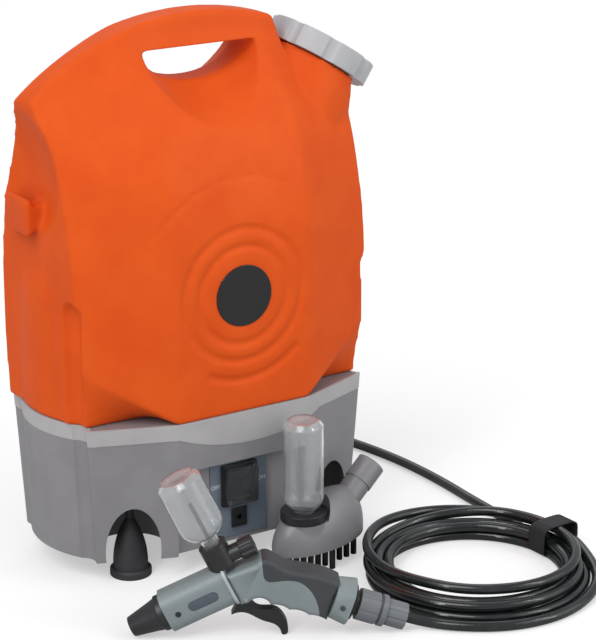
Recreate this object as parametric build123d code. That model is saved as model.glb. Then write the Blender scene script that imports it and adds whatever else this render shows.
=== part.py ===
from build123d import *
import os
from math import cos, degrees, radians, sin, tan

# Driving dimensions, in millimetres, and in degrees where the name says so.
# The machine stands at the origin on four feet, its front towards -Y.

# Machine as a whole
body_depth = 208.0
front_width = 312.0
rear_width = 326.0
corner_depth = 146.0
crease_spacing = 146.0
top_height = 538.0
seam_height = 164.0
ground_gap = 25.0

# Side bulges, and the flute in front of each
bulge_width = 344.0
bulge_chord = 120.0
bulge_rise = 19.0
bulge_shift = 8.0
bulge_top_height = 275.0
flute_radius = 15.0
flute_depth = 7.0
flute_shift = -60.0

# Tank
tank_wall = 4.0
tank_overhang = 3.0
side_slant = 0.0625
corner_round = 10.0
crease_round = 25.0
top_round = 7.0

# Carrying handle
handle_bar_height = 30.0
handle_hole_length = 118.0
handle_hole_drop = 34.0
scoop_length = 138.0
scoop_drop = 62.0
scoop_reach = 48.0
hole_half_depth = 14.0

# Hollow under each shoulder, and the strap lug in the left one
hollow_radius = 130.0
hollow_depth = 10.0
hollow_height = 395.0
lug_height = 360.0
lug_y = 12.0
lug_plate_length = 45.0
lug_plate_height = 36.0
lug_plate_thickness = 6.0
lug_neck_length = 22.0
lug_neck_height = 24.0
lug_reach = 172.0

# Rings pressed into the tank's front
ring_height = 281.0
ring_depth = 2.2
ring_groove_width = 8.0
inner_ring_radius = 48.0
outer_ring_radius = 65.0
crescent_radius = 84.0
crescent_start_deg = 242.0
crescent_sweep_deg = 74.0
arc_radius = 113.0
arc_groove_width = 4.0
arc_start_deg = 60.0
arc_sweep_deg = 83.0
badge_radius = 30.5
badge_thickness = 1.6
badge_recess = 1.0

# Filler neck and cap
neck_tilt_deg = 33.0
neck_x = 145.0
neck_z = 472.0
neck_shoulder_drop = 9.0
neck_flare_radius = 51.0
neck_flare_base_radius = 62.0
neck_flare_length = 72.0
neck_radius = 42.0
neck_wall = 4.0
neck_reach = 16.0
cap_radius = 55.0
cap_height = 22.0
cap_wall = 3.0
cap_clearance = 0.6
cap_lobes = 8
cap_notch_radius = 9.0
cap_notch_depth = 3.5
cap_rim_width = 13.0
cap_dish_depth = 1.6

# Base housing and its trim
base_wall = 3.6
base_front_draft = 8.0
base_side_draft = 5.0
deck_thickness = 3.0
band_height = 15.0
band_thickness = 1.8
band_dip = 17.0
band_dip_left = 72.0
band_dip_right = 90.0
cover_thickness = 4.0
cover_clearance = 0.4
vent_length = 60.0
vent_width = 4.0

# Control panel
recess_width = 143.0
recess_depth = 15.0
recess_top = 113.5
label_width = 64.0
label_height = 79.0
label_thickness = 1.2
label_bottom = 30.0
bezel_width = 40.0
bezel_height = 44.0
bezel_centre_height = 85.0
bezel_thickness = 3.0
switch_window_width = 30.0
switch_window_height = 34.0
switch_body_depth = 20.0
switch_wall = 1.4
rocker_pin_radius = 1.5
rocker_pin_depth = 3.0
rocker_swing_deg = 18.0
boot_depth = 7.0
boot_thickness = 1.0
socket_width = 17.0
socket_height = 20.0
socket_centre_height = 49.5
socket_flange = 2.0
socket_body_depth = 13.0
socket_bore = 6.5
socket_pin = 2.0

# Feet and the niches they stand in
foot_x = 102.0
foot_y = 54.0
foot_flange_radius = 20.5
foot_flange_height = 8.0
foot_radius = 17.0
foot_height = 58.0
foot_tip_radius = 4.5
foot_peg_radius = 4.0
niche_radius = 38.0
niche_mid_radius = 31.0
niche_mid_height = 82.0
niche_top_height = 116.0
niche_tip_radius = 6.0
niche_wall = 3.0

# What the base holds
battery_width = 94.0
battery_length = 151.0
battery_height = 65.0
battery_back_gap = 6.0
pad_thickness = 3.0
tray_thickness = 3.0
motor_radius = 19.0
motor_length = 70.0
pump_x = -62.0
pump_y = 22.0
pump_length = 52.0
pump_size = 44.0
pump_wall = 5.0
pump_foot_height = 6.0
shaft_radius = 2.5
bearing_radius = 8.0
bearing_width = 5.0
cam_radius = 9.0
cam_offset = 2.5
cam_width = 10.0
port_radius = 5.6
port_length = 10.0
pressure_switch_radius = 11.0
pressure_switch_length = 24.0
board_x = 40.0
board_y = -36.0
board_width = 60.0
board_height = 38.0
board_thickness = 1.6
fuse_x = 85.0
fuse_width = 30.0
outlet_x = -110.0
outlet_y = 34.0
outlet_bore = 4.0
outlet_radius = 7.0
outlet_flange_radius = 14.0
outlet_flange_thickness = 3.0
filter_radius = 11.0
filter_height = 26.0
inner_hose_radius = 7.5

# Outlet for the delivery hose at the back
gland_x = 58.0
gland_z = 60.0
gland_flange_radius = 15.0
gland_flange_thickness = 4.0
gland_nose = 22.0
gland_thread_radius = 9.0
gland_thread_length = 15.0
gland_barb = 5.0
gland_nut_radius = 12.6
gland_nut_thickness = 6.0

# Delivery hose
hose_diameter = 10.0
coil_centre_x = 177.0
coil_centre_y = -243.0
coil_inner_radius = 80.0
coil_outer_radius = 115.0
coil_height = 33.0
coil_corner = 9.0
tie_width = 22.0
tie_thickness = 1.6
tie_angle_deg = 4.0

# Trigger gun: where it lies, and its barrel
gun_x = -164.4
gun_y = -178.7
gun_turn_deg = -29.16
barrel_tilt_deg = 25.5
barrel_start = (28.0, 24.8)
barrel_length = 66.5
barrel_width = 34.0
barrel_height = 39.0
barrel_corner = 13.0
nozzle_tip_radius = 9.5
nozzle_radius = 17.3
nozzle_length = 35.6
nozzle_collar = 6.0
nozzle_bore = 3.0
spigot_radius = 10.0
spigot_length = 14.0

# Trigger gun: grip and tail
grip_thickness = 31.0
grip_round = 5.0
grip_skin = 2.4
tail_tilt_deg = 18.6
tail_start = (181.5, 35.4)
tail_radius = 19.4
tail_flare = 22.4
tail_length = 17.0
tail_seal_radius = 17.0
tail_seal_thickness = 3.0
adapter_radius = 8.0
adapter_shoulder_radius = 11.0
adapter_reach = 14.0
adapter_depth = 10.0

# Quick connector and its nut
connector_radius = 15.0
connector_core_radius = 12.0
connector_start = 24.6
connector_end = 51.3
connector_flange = 5.3
collar_travel = 2.2
nut_radius = 12.6
nut_length = 19.7

# Trigger and its valve
trigger_pivot = (101.0, 40.0)
trigger_pin_radius = 2.5
trigger_hub_radius = 5.5
trigger_width = 11.0
trigger_slot_clearance = 0.8
trigger_swing_deg = 14.0
valve_arm = 9.0
valve_arm_radius = 3.0
stem_radius = 2.0
stem_length = 26.0
running_clearance = 0.05

# Detergent bottle on the gun
bottle_station = 67.0
bottle_radius = 21.2
bottle_neck_radius = 8.5
bottle_wall = 1.4
bottle_base_reach = 114.0
bottle_shoulder_reach = 59.0
bottle_neck_reach = 33.0
dose_cap_radius = 13.2
dose_cap_reach = 41.0
dose_cap_floor = 29.0
dose_body_reach = 24.0
dose_body_radius = 8.5
dose_body_end = 88.0
dose_spigot_radius = 3.0
dose_spigot_length = 8.0
dose_knob_radius = 10.0
dose_knob_length = 13.0
dip_tube_radius = 2.0
dip_tube_length = 58.0

# Wash brush
brush_x = 66.0
brush_y = -132.0
brush_turn_deg = 12.0
brush_half_length = 57.0
brush_half_depth = 28.0
brush_skirt_bottom = 24.0
brush_skirt_top = 33.0
brush_top = 72.0
brush_wall = 4.0
tuft_radius = 2.5
tuft_spacing = 10.0
brush_plate_thickness = 4.0
collar_offset = -20.0
collar_radius = 23.0
collar_height = 9.0
collar_seat = 53.0
seat_radius = 24.0
brush_bottle_radius = 19.5
brush_bottle_top = 156.0
brush_bottle_shoulder = 10.5
brush_bottle_neck_radius = 10.5
neck_tube_radius = 13.5
neck_tube_bore = 10.5
neck_tube_length = 66.0
neck_tube_depth = 42.0
neck_tube_tilt_deg = 37.0
neck_tube_offset = 22.0
neck_tube_base = 44.0
neck_ring_length = 24.0
neck_ring_step = 1.0

# Fit between pieces that don't touch
gap = 0.3

# Sizes worked out from the ones above
half_depth = body_depth / 2
half_front = front_width / 2
half_rear = rear_width / 2
half_corner = corner_depth / 2
half_crease = crease_spacing / 2
tank_mean_width = (front_width + rear_width) / 4 + 2 * tank_overhang
bulge_radius = ((bulge_chord / 2) ** 2 + bulge_rise**2) / (2 * bulge_rise)
panel_face = recess_depth - half_depth
label_face = panel_face - label_thickness
housing_top = seam_height - deck_thickness
cover_top = ground_gap + cover_thickness
battery_top = cover_top + battery_height
tray_bottom = battery_top + pad_thickness
tray_top = tray_bottom + tray_thickness
shaft_z = tray_top + pump_foot_height + pump_size / 2
motor_x = pump_x + pump_length
hose_radius = hose_diameter / 2
suction_y = pump_y + 12
delivery_x = pump_x + 14
delivery_y = 67.0

parts = {}


def keep(name, shape):
    """Put one piece of the washer on the list of pieces to write."""
    parts[name] = shape


def rod(plane, radius, length):
    """A round bar that starts at a plane's origin and runs along its normal."""
    return extrude(plane * Circle(radius), amount=length)


def pipe(plane, radius, bore, length):
    """A round tube that starts at a plane's origin and runs along its normal."""
    return extrude(plane * (Circle(radius) - Circle(bore)), amount=length)


def block(x, y, z, size_x, size_y, size_z):
    """A plain box by its centre and its three sizes."""
    return Location((x, y, z)) * Box(size_x, size_y, size_z)


def facing(x, y, z, direction):
    """A plane at a point, with its normal along a direction."""
    return Plane((x, y, z), z_dir=direction)


# Outer form of the tank. The front runs straight up and then leans in: each point is
# a height above the seam and how far the surface has moved in from its lowest depth.

front_line = [(130, 0), (186, 2.5), (236, 13), (276, 30), (311, 56), (346, 79), (386, 88)]
corner_line = [
    (0, 38.6),
    (66, 43.3),
    (136, 45.1),
    (186, 51.7),
    (236, 63),
    (276, 77.3),
    (311, 92),
    (346, 95.6),
    (386, 97.4),
]
corner_station = 185.0

# Sides of the tank: height above the seam and offset from the mean half width
right_line = [(0, 0), (66, 1.0), (136, 1.0), (186, -0.5), (236, -2.5), (276, -3.5), (330, -1.5)]
left_line = [
    (0, 0),
    (66, 1.0),
    (136, 1.0),
    (186, 1.0),
    (236, 2.5),
    (276, 5.5),
    (311, 9.5),
    (340, 12),
    (386, 13.5),
]

# Top line of the tank, seen from the front: X and drop below the handle's top
top_line = [(-190, 86), (-165, 59), (-123, 31), (-81, 12), (-27, 0.5), (33, 0.5), (88, 12)]


def side_view(station):
    """The plane across the tank at one X, with Y across and Z up."""
    return Plane((station, 0, 0), x_dir=(0, 1, 0), z_dir=(1, 0, 0))


def depth_section(station, line, straight, inset):
    """The tank's section at one X, with its front and back leaning in alike."""
    low = seam_height + inset
    points = [(d + inset - half_depth, seam_height + z) for z, d in line]
    with BuildSketch(side_view(station)) as section:
        with BuildLine():
            if straight:
                curve = Spline(*points, tangents=((0, 1), (0.05, 1)))
                start = (inset - half_depth, low)
                Line(start, curve @ 0)
            else:
                start = (points[0][0], low)
                curve = Spline(start, *points[1:])
            Polyline(curve @ 1, (0, points[-1][1]), (0, low), start)
        make_face()
        mirror(about=Plane.YZ)
    return section.sketch


def tank_pillow(inset):
    """Front and back of the tank: a flat middle, and a facet to each corner."""
    left_end = depth_section(-corner_station, corner_line, False, inset)
    left = depth_section(-half_crease, front_line, True, inset)
    right = depth_section(half_crease, front_line, True, inset)
    right_end = depth_section(corner_station, corner_line, False, inset)
    form = loft([left_end, left], ruled=True)
    form += extrude(left, amount=crease_spacing, dir=(1, 0, 0))
    return form + loft([right, right_end], ruled=True)


def skyline(inset):
    """All that lies below the tank's top line, seen from the front, as a thick slab."""
    low = seam_height - 20
    wide = corner_station + 60
    slope = tan(radians(neck_tilt_deg))
    drop = neck_shoulder_drop + inset
    seat_x = neck_x - drop * sin(radians(neck_tilt_deg))
    seat_z = neck_z - drop * cos(radians(neck_tilt_deg))
    points = [(x, top_height - inset - d) for x, d in top_line]
    foot_of_bar = points[-1][0] + 6 - inset
    with BuildPart() as slab:
        with BuildSketch(Plane.XZ):
            with BuildLine():
                line = Spline(*points)
                Polyline(
                    line @ 1,
                    (foot_of_bar, seat_z + (seat_x - foot_of_bar) * slope),
                    (wide, seat_z + (seat_x - wide) * slope),
                    (wide, low),
                    (-wide, low),
                    (-wide, points[0][1] - 15),
                    line @ 0,
                )
            make_face()
        extrude(amount=body_depth, both=True)
    return slab.part


def outside(side, line, inset):
    """All that lies beyond one side of the tank, cut a little wider at the back."""
    points = [(side * (tank_mean_width + w - inset), seam_height + z) for z, w in line]
    far = side * (corner_station + 80)
    low = seam_height - 5
    with BuildSketch(Plane.XZ) as sketch:
        with BuildLine():
            curve = Spline(*points)
            Polyline(
                curve @ 0,
                (points[0][0], low),
                (far, low),
                (far, points[-1][1]),
                curve @ 1,
            )
        make_face()
    along = Vector(side * side_slant, 1, 0).normalized()
    return extrude(sketch.sketch, amount=body_depth, dir=along, both=True)


def bulge(side, low, high, inset, draft, domed):
    """A shallow upright bulge on one side, domed at its top where the tank carries it."""
    reach = bulge_width / 2 - inset
    foot = (side * (reach - draft - bulge_radius), bulge_shift, low)
    head = (side * (reach - bulge_radius), bulge_shift, high)
    body = loft([Plane(foot) * Circle(bulge_radius), Plane(head) * Circle(bulge_radius)])
    top = high
    if domed:
        body += Location(head) * Sphere(bulge_radius)
        top = high + bulge_radius
    near = half_front - 20
    window = block(
        side * (near + reach) / 2,
        bulge_shift,
        (low + top) / 2,
        reach - near,
        bulge_chord,
        top - low,
    )
    return body & window


def flute(side, face, low, high, grow, draft):
    """The upright hollow between the front corner and the bulge."""
    radius = flute_radius + grow
    x = face + flute_radius - flute_depth
    foot = Plane((side * (x - draft), flute_shift, low))
    head = (side * x, flute_shift, high)
    body = loft([foot * Circle(radius), Plane(head) * Circle(radius)])
    return body + Location(head) * Sphere(radius)


def half_moon(half_length, drop, y, grow):
    """The handle hole's outline at one depth: flat above and half an ellipse below."""
    top = top_height - handle_bar_height + grow
    below = Rectangle(3 * half_length, 2 * drop, align=(Align.CENTER, Align.MAX))
    outline = Ellipse(half_length + grow, drop + 2 * grow) & below
    return Plane((0, y, top), x_dir=(1, 0, 0), z_dir=(0, -1, 0)) * outline


def handle_hole(grow):
    """The hand hole with the finger scoops that open out to the front and the back."""
    half = handle_hole_length / 2
    widen = (scoop_length / 2 - half) / scoop_reach
    deepen = (scoop_drop - handle_hole_drop) / scoop_reach
    depth = hole_half_depth
    outer = half_depth + 10
    shape = extrude(half_moon(half, handle_hole_drop, depth, grow), amount=2 * depth)
    for side in (-1, 1):
        reach = outer - depth
        near = half_moon(half, handle_hole_drop, side * depth, grow)
        far_half = half + widen * reach
        far = half_moon(far_half, handle_hole_drop + deepen * reach, side * outer, grow)
        shape += loft([near, far])
    return shape


def side_hollow(side, grow):
    """The dished hollow under a shoulder."""
    reach = tank_mean_width - hollow_depth + hollow_radius
    return Location((side * reach, 0, hollow_height)) * Sphere(hollow_radius + grow)


def neck_plane(along):
    """The plane across the filler neck, this far outwards from the cap's lower rim."""
    tilt = radians(neck_tilt_deg)
    origin = (neck_x + along * sin(tilt), 0, neck_z + along * cos(tilt))
    return Plane(origin, x_dir=(cos(tilt), 0, -sin(tilt)), z_dir=(sin(tilt), 0, cos(tilt)))


def ring_slab(radius, width, start_deg, sweep_deg):
    """A ring or part of one, seen from the front, as a slab through the tank's front."""
    front = Plane((0, 0, ring_height), x_dir=(1, 0, 0), z_dir=(0, -1, 0))
    with BuildPart() as slab:
        with BuildSketch(front):
            if sweep_deg >= 360:
                Circle(radius + width / 2)
                Circle(radius - width / 2, mode=Mode.SUBTRACT)
            else:
                with BuildLine():
                    outer = CenterArc((0, 0), radius + width / 2, start_deg, sweep_deg)
                    inner = CenterArc((0, 0), radius - width / 2, start_deg, sweep_deg)
                    Line(outer @ 0, inner @ 0)
                    Line(outer @ 1, inner @ 1)
                make_face()
        extrude(amount=half_depth + 10)
    return slab.part


def tank_form(inset, rounded):
    """The tank's body, without its neck, hole, bulges and lug."""
    form = tank_pillow(inset) & skyline(inset)
    if rounded:
        creases = form.edges().filter_by(
            lambda e: abs(abs(e.center().X) - half_crease) < 1
            and e.length > 100
            and abs(e.center().Y) > 20
        )
        form = fillet(creases, crease_round)
    form -= outside(1, right_line, inset)
    form -= outside(-1, left_line, inset)
    if rounded:
        top_edges = form.edges().filter_by(
            lambda e: e.center().Z > neck_z - 40 and e.length > 60 and abs(e.center().Y) > 3
        )
        form = fillet(top_edges, top_round)
    return form


def make_tank():
    """The blow-moulded water tank, hollow to its wall."""
    outer = tank_form(0, True)
    inner = tank_form(tank_wall, False)
    flare = [
        neck_plane(-neck_flare_length) * Circle(neck_flare_base_radius),
        neck_plane(-cap_clearance) * Circle(neck_flare_radius),
    ]
    outer += loft(flare) - outside(1, right_line, 0)
    for side in (-1, 1):
        outer += bulge(side, seam_height, bulge_top_height, 0, 0, True)
        low = seam_height + tank_wall
        inner += bulge(side, low, bulge_top_height, tank_wall, 0, True)
        face = half_front + tank_overhang
        outer -= flute(side, face, seam_height - 1, bulge_top_height, 0, 0)
        inner -= flute(side, face, seam_height - 1, bulge_top_height, tank_wall, 0)
        outer -= side_hollow(side, 0)
        inner -= side_hollow(side, tank_wall)
    outer -= handle_hole(0)
    inner -= handle_hole(tank_wall)
    outer += rod(neck_plane(-cap_clearance), neck_radius, neck_reach + cap_clearance)
    bore = rod(neck_plane(-neck_flare_length / 2), neck_radius - neck_wall, neck_flare_length)
    grooves = ring_slab(inner_ring_radius, ring_groove_width, 0, 360)
    grooves += ring_slab(outer_ring_radius, ring_groove_width, 0, 360)
    grooves += ring_slab(crescent_radius, ring_groove_width, crescent_start_deg, crescent_sweep_deg)
    grooves += ring_slab(arc_radius, arc_groove_width, arc_start_deg, arc_sweep_deg)
    outer -= grooves - tank_pillow(ring_depth)
    badge_seat = Plane((0, badge_recess - half_depth, ring_height), z_dir=(0, -1, 0))
    outer -= rod(badge_seat, badge_radius, 10)
    neck_of_lug = block(
        -(tank_mean_width + lug_reach) / 2,
        lug_y - (lug_plate_length - lug_neck_length) / 2,
        lug_height,
        lug_reach - tank_mean_width + 14,
        lug_neck_length,
        lug_neck_height,
    )
    plate = block(
        -(lug_reach + lug_plate_thickness / 2),
        lug_y,
        lug_height,
        lug_plate_thickness,
        lug_plate_length,
        lug_plate_height,
    )
    outer += neck_of_lug
    outer += fillet(plate.edges().filter_by(Axis.X), lug_plate_thickness)
    tank = outer - inner - bore
    return tank - rod(Plane((outlet_x, outlet_y, seam_height - 1)), outlet_radius, tank_wall + 2)


def make_badge():
    """The round plate in the middle of the rings."""
    seat = Plane((0, badge_recess - half_depth, ring_height), z_dir=(0, -1, 0))
    return rod(seat, badge_radius - cover_clearance, badge_thickness)


# Screw cap with its gasket

def make_cap():
    rim = Circle(cap_radius)
    notch = Pos(cap_radius + cap_notch_radius - cap_notch_depth, 0) * Circle(cap_notch_radius)
    for i in range(cap_lobes):
        rim -= Rot(0, 0, (i + 0.5) * 360 / cap_lobes) * notch
    cap = extrude(neck_plane(0) * rim, amount=cap_height)
    dish = rod(neck_plane(cap_height - cap_dish_depth), cap_radius - cap_rim_width, 5)
    skirt = rod(neck_plane(-1), neck_radius + cap_clearance, cap_height - cap_wall + 1)
    return cap - dish - skirt


def make_gasket():
    """The sealing ring pressed up inside the cap."""
    low = neck_reach + gap
    bore = neck_radius - neck_wall + 1
    return pipe(neck_plane(low), neck_radius - 1, bore, cap_height - cap_wall - low)


# Base housing with its trim band and bottom cover

def octagon(half_a, half_b, corner, depth):
    """Plan outline of the base with rounded corners and creases."""
    points = [
        (-half_crease, -depth),
        (half_crease, -depth),
        (half_a, -corner),
        (half_b, corner),
        (half_crease, depth),
        (-half_crease, depth),
        (-half_b, corner),
        (-half_a, -corner),
    ]
    outline = Polygon(*points, align=None)
    creases = outline.vertices().filter_by(lambda v: abs(abs(v.X) - half_crease) < 0.5)
    outline = fillet(creases, crease_round)
    corners = outline.vertices().filter_by(lambda v: abs(v.X) > half_crease + 15)
    return fillet(corners, corner_round)


def base_form(inset, low, high):
    """The drafted outer form of the base between two heights."""
    sections = []
    for z in (low, high):
        share = (seam_height - z) / (seam_height - ground_gap)
        side_inset = base_side_draft * share + inset
        outline = octagon(
            half_front - side_inset,
            half_rear - side_inset,
            half_corner - base_front_draft * share - 0.7 * inset,
            half_depth - base_front_draft * share - inset,
        )
        sections.append(Plane((0, 0, z)) * outline)
    form = loft(sections, ruled=True)
    draft_rate = base_side_draft / (seam_height - ground_gap)
    top_inset = draft_rate * (seam_height - high)
    draft = draft_rate * (high - low)
    for side in (-1, 1):
        form += bulge(side, low, high, top_inset + inset, draft, False)
        form -= flute(side, half_front - top_inset, low, high, inset, draft)
    return form


def band_zone():
    """The part of the base's wall that the trim band covers, with the dip in front."""
    edge = seam_height - band_height
    high = seam_height + 5
    middle = (band_dip_right - band_dip_left) / 2
    with BuildPart() as front:
        with BuildSketch(Plane((0, 0, 0), x_dir=(1, 0, 0), z_dir=(0, -1, 0))):
            with BuildLine():
                left = (-band_dip_left, edge)
                right = (band_dip_right, edge)
                ThreePointArc(left, (middle, edge - band_dip), right)
                wide = bulge_width
                Polyline(right, (wide, edge), (wide, high), (-wide, high), (-wide, edge), left)
            make_face()
        extrude(amount=body_depth)
    rear = block(0, half_depth, (edge + high) / 2, 2 * bulge_width, body_depth, high - edge)
    return front.part + rear


def make_band():
    """The light trim band let into the top of the base."""
    low = seam_height - band_height - band_dip - 5
    core = base_form(band_thickness, low - 1, seam_height + 1)
    return (base_form(0, low, seam_height) - core) & band_zone()


def niche(x, y, grow):
    """The ogive hollow that a foot stands in."""
    low = ground_gap - 5
    with BuildPart() as body:
        with BuildSketch(Plane.XZ):
            with BuildLine():
                side = Spline(
                    (niche_radius + grow, low),
                    (niche_mid_radius + grow, niche_mid_height),
                    (niche_tip_radius, niche_top_height + grow),
                )
                Polyline(side @ 1, (0, niche_top_height + grow), (0, low), side @ 0)
            make_face()
        revolve(axis=Axis.Z)
    return Location((x, y, 0)) * body.part


def corners():
    """Where the four feet stand."""
    return [(sx * foot_x, sy * foot_y) for sy in (-1, 1) for sx in (-1, 1)]


def panel_recess(grow):
    """The hollow in the base's front that holds the control panel."""
    high = recess_top + grow
    low = ground_gap - 5
    deep = panel_face + grow
    front = -half_depth - 10
    wide = recess_width + 2 * grow
    return block(0, (deep + front) / 2, (high + low) / 2, wide, deep - front, high - low)


def panel_windows():
    """The openings for the switch and the charging socket."""
    switch = block(
        0, panel_face, bezel_centre_height, switch_window_width + 2, 20, switch_window_height + 2
    )
    jack = block(0, panel_face, socket_centre_height, socket_width - 5, 20, socket_height - 5)
    return switch + jack


def rear_wall(z):
    """Where the base's flat rear wall has its outer face at one height."""
    share = (seam_height - z) / (seam_height - ground_gap)
    return half_depth - base_front_draft * share


def make_housing(band):
    """The moulded base: walls, deck, panel recess and the four foot niches."""
    outer = base_form(0, ground_gap, seam_height)
    shell = outer - base_form(base_wall, ground_gap - 1, housing_top)
    shell += panel_recess(base_wall) & outer
    for x, y in corners():
        shell += niche(x, y, niche_wall) & outer
    shell -= panel_recess(0)
    for x, y in corners():
        shell -= niche(x, y, 0)
    shell -= band
    shell -= rod(Plane((outlet_x, outlet_y, housing_top - 1)), outlet_radius + 1, 6)
    back = facing(gland_x, half_depth + 5, gland_z, (0, -1, 0))
    shell -= rod(back, gland_thread_radius, 25)
    return shell - panel_windows()


def make_bottom_cover():
    """The flat plate that closes the base, with three vents under the pump."""
    inset = base_wall + cover_clearance
    slab = base_form(inset, ground_gap, cover_top) - panel_recess(inset)
    for x, y in corners():
        slab -= niche(x, y, niche_wall + cover_clearance)
    for i in (-1, 0, 1):
        slab -= block(30 * i, 0, ground_gap, vent_width, vent_length, 3)
    return slab.solids().sort_by(SortBy.VOLUME)[-1]


def make_tray():
    """The shelf over the battery that carries the pump."""
    inset = base_wall + gap
    slab = base_form(inset, tray_bottom, tray_top) - panel_recess(inset)
    for x, y in corners():
        slab -= niche(x, y, niche_wall + gap)
    room = switch_window_width + 6
    slab -= block(0, panel_face + 12, tray_top, room, 2 * switch_body_depth, 20)
    return slab - rod(Plane((gland_x, delivery_y, tray_bottom - 5)), inner_hose_radius + 1, 15)


def make_foot(x, y):
    """A rubber foot: a flange on the floor, an ogive body and a peg up to the niche's top."""
    with BuildPart() as foot:
        with BuildSketch(Plane.XZ):
            with BuildLine():
                side = Spline(
                    (foot_radius, foot_flange_height),
                    (foot_radius * 0.82, foot_height * 0.62),
                    (foot_tip_radius, foot_height),
                )
                Polyline(
                    side @ 1,
                    (0, foot_height),
                    (0, 0),
                    (foot_flange_radius, 0),
                    (foot_flange_radius, foot_flange_height - 2),
                    (foot_radius + 1.5, foot_flange_height),
                    side @ 0,
                )
            make_face()
        revolve(axis=Axis.Z)
    peg_length = niche_top_height - foot_height + 1
    peg = rod(Plane((0, 0, foot_height - 1)), foot_peg_radius, peg_length)
    return Location((x, y, 0)) * (foot.part + peg)


# Control panel

def make_label():
    """The plate behind the switch and the socket."""
    middle = label_bottom + label_height / 2
    y = panel_face - label_thickness / 2
    return block(0, y, middle, label_width, label_thickness, label_height) - panel_windows()


def rocker_plane(x):
    """The plane across the rocker's pin at one X."""
    y = label_face + rocker_pin_depth
    return Plane((x, y, bezel_centre_height), x_dir=(0, 1, 0), z_dir=(1, 0, 0))


def make_bezel():
    """The switch's frame with its closed body behind the panel, and the rocker's pin."""
    z = bezel_centre_height
    y = label_face - bezel_thickness / 2
    flange = block(0, y, z, bezel_width, bezel_thickness, bezel_height)
    flange = fillet(flange.edges().filter_by(Axis.Y), 2.5)
    depth = switch_body_depth
    wide = switch_window_width
    high = switch_window_height
    body = block(0, label_face + depth / 2, z, wide + 1.4, depth, high + 1.4)
    wall = switch_wall
    front = label_face - bezel_thickness - 1
    back = label_face + depth - wall
    cavity = block(0, (front + back) / 2, z, wide - wall, back - front, high - wall)
    pin = rod(rocker_plane(-wide / 2), rocker_pin_radius, wide)
    return flange + body - cavity + pin


def make_rocker():
    """The rocking key: a shallow vee on the pin across the frame, with its foot pressed in."""
    wide = switch_window_width - switch_wall - 2 * gap
    half = (switch_window_height - switch_wall) / 2 - gap - 0.5
    hub = rocker_pin_radius + 1.7
    with BuildPart() as key:
        with BuildSketch(rocker_plane(-wide / 2)):
            with BuildLine():
                Polyline(
                    (-hub, 0),
                    (-hub - 2.2, half - 0.8),
                    (hub - 1, half - 2),
                    (hub + 1, 0),
                    (hub - 1, 2 - half),
                    (-hub - 2.2, 0.8 - half),
                    (-hub, 0),
                )
            make_face()
        extrude(amount=wide)
    bore = rod(rocker_plane(-wide), rocker_pin_radius + running_clearance, 2 * wide)
    pin = rocker_plane(0)
    return (key.part - bore).rotate(Axis(pin.origin, pin.z_dir), rocker_swing_deg / 2)


def make_boot():
    """The clear splash cover over the rocker, with ribs across its face."""
    y = label_face - bezel_thickness
    z = bezel_centre_height
    wide = bezel_width - 6
    high = bezel_height - 6
    outer = block(0, y - boot_depth / 2, z, wide, boot_depth, high)
    outer = fillet(outer.edges().filter_by(Axis.Y), 3)
    room = boot_depth - boot_thickness
    wall = 2 * boot_thickness
    boot = outer - block(0, y - room / 2, z, wide - wall, room, high - wall)
    for i in range(5):
        boot += block(0, y - boot_depth - 0.3, z + (i - 2) * 5.5, wide - 10, 0.8, 1.6)
    return boot


def make_socket():
    """The charging jack: a square flange with a round mouth and a pin in it."""
    z = socket_centre_height
    wide = socket_width - 5.4
    high = socket_height - 5.4
    depth = socket_body_depth
    y = label_face - socket_flange / 2
    flange = block(0, y, z, socket_width, socket_flange, socket_height)
    body = block(0, label_face + depth / 2, z, wide, depth, high)
    mouth = facing(0, label_face - socket_flange - 1, z, (0, 1, 0))
    jack = flange + body - rod(mouth, socket_bore / 2, depth - 1)
    pin_root = facing(0, label_face + depth - 2, z, (0, -1, 0))
    return jack + rod(pin_root, socket_pin / 2, depth - 3)


# Battery, pump and fittings inside the base

def battery_y():
    return rear_wall(cover_top) - base_wall - battery_back_gap - battery_length / 2


def make_battery():
    """The sealed battery with its two tabs."""
    y = battery_y()
    z = cover_top + battery_height / 2
    case = block(0, y, z, battery_width, battery_length, battery_height)
    case = fillet(case.edges().filter_by(Axis.Z), 3)
    for x in (-30, 30):
        case += block(x, y - battery_length / 2 - 2, z + 18, 6.3, 4, 0.9)
    return case


def make_pad():
    """The foam pad between the battery and the shelf."""
    z = battery_top + pad_thickness / 2
    return block(0, battery_y(), z, battery_width - 14, battery_length - 20, pad_thickness)


def shaft_plane(x):
    """The plane across the pump's shaft at one place along it."""
    return Plane((x, pump_y, shaft_z), x_dir=(0, 1, 0), z_dir=(1, 0, 0))


def make_pump():
    """The pump's head: a hollow block with its ports and two mounting feet."""
    middle = pump_x + pump_length / 2
    head = block(middle, pump_y, shaft_z, pump_length, pump_size, pump_size)
    head = fillet(head.edges().filter_by(Axis.X), 6)
    inner = pump_x + pump_wall
    head -= rod(shaft_plane(inner), cam_radius + cam_offset + 3, cam_width + 14)
    head -= rod(shaft_plane(inner), bearing_radius, pump_length)
    suction = facing(pump_x, suction_y, shaft_z, (-1, 0, 0))
    delivery = facing(delivery_x, pump_y + pump_size / 2, shaft_z, (0, 1, 0))
    head += rod(suction, port_radius, port_length)
    head += rod(delivery, port_radius, port_length)
    for x in (pump_x + 10, pump_x + pump_length - 10):
        z = tray_top + pump_foot_height / 2
        head += block(x, pump_y, z, 16, pump_size, pump_foot_height)
    return head


def make_bearing():
    """The bearing at the pump's open end, which carries the shaft."""
    start = shaft_plane(motor_x - bearing_width)
    return pipe(start, bearing_radius, shaft_radius + running_clearance, bearing_width)


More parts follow.
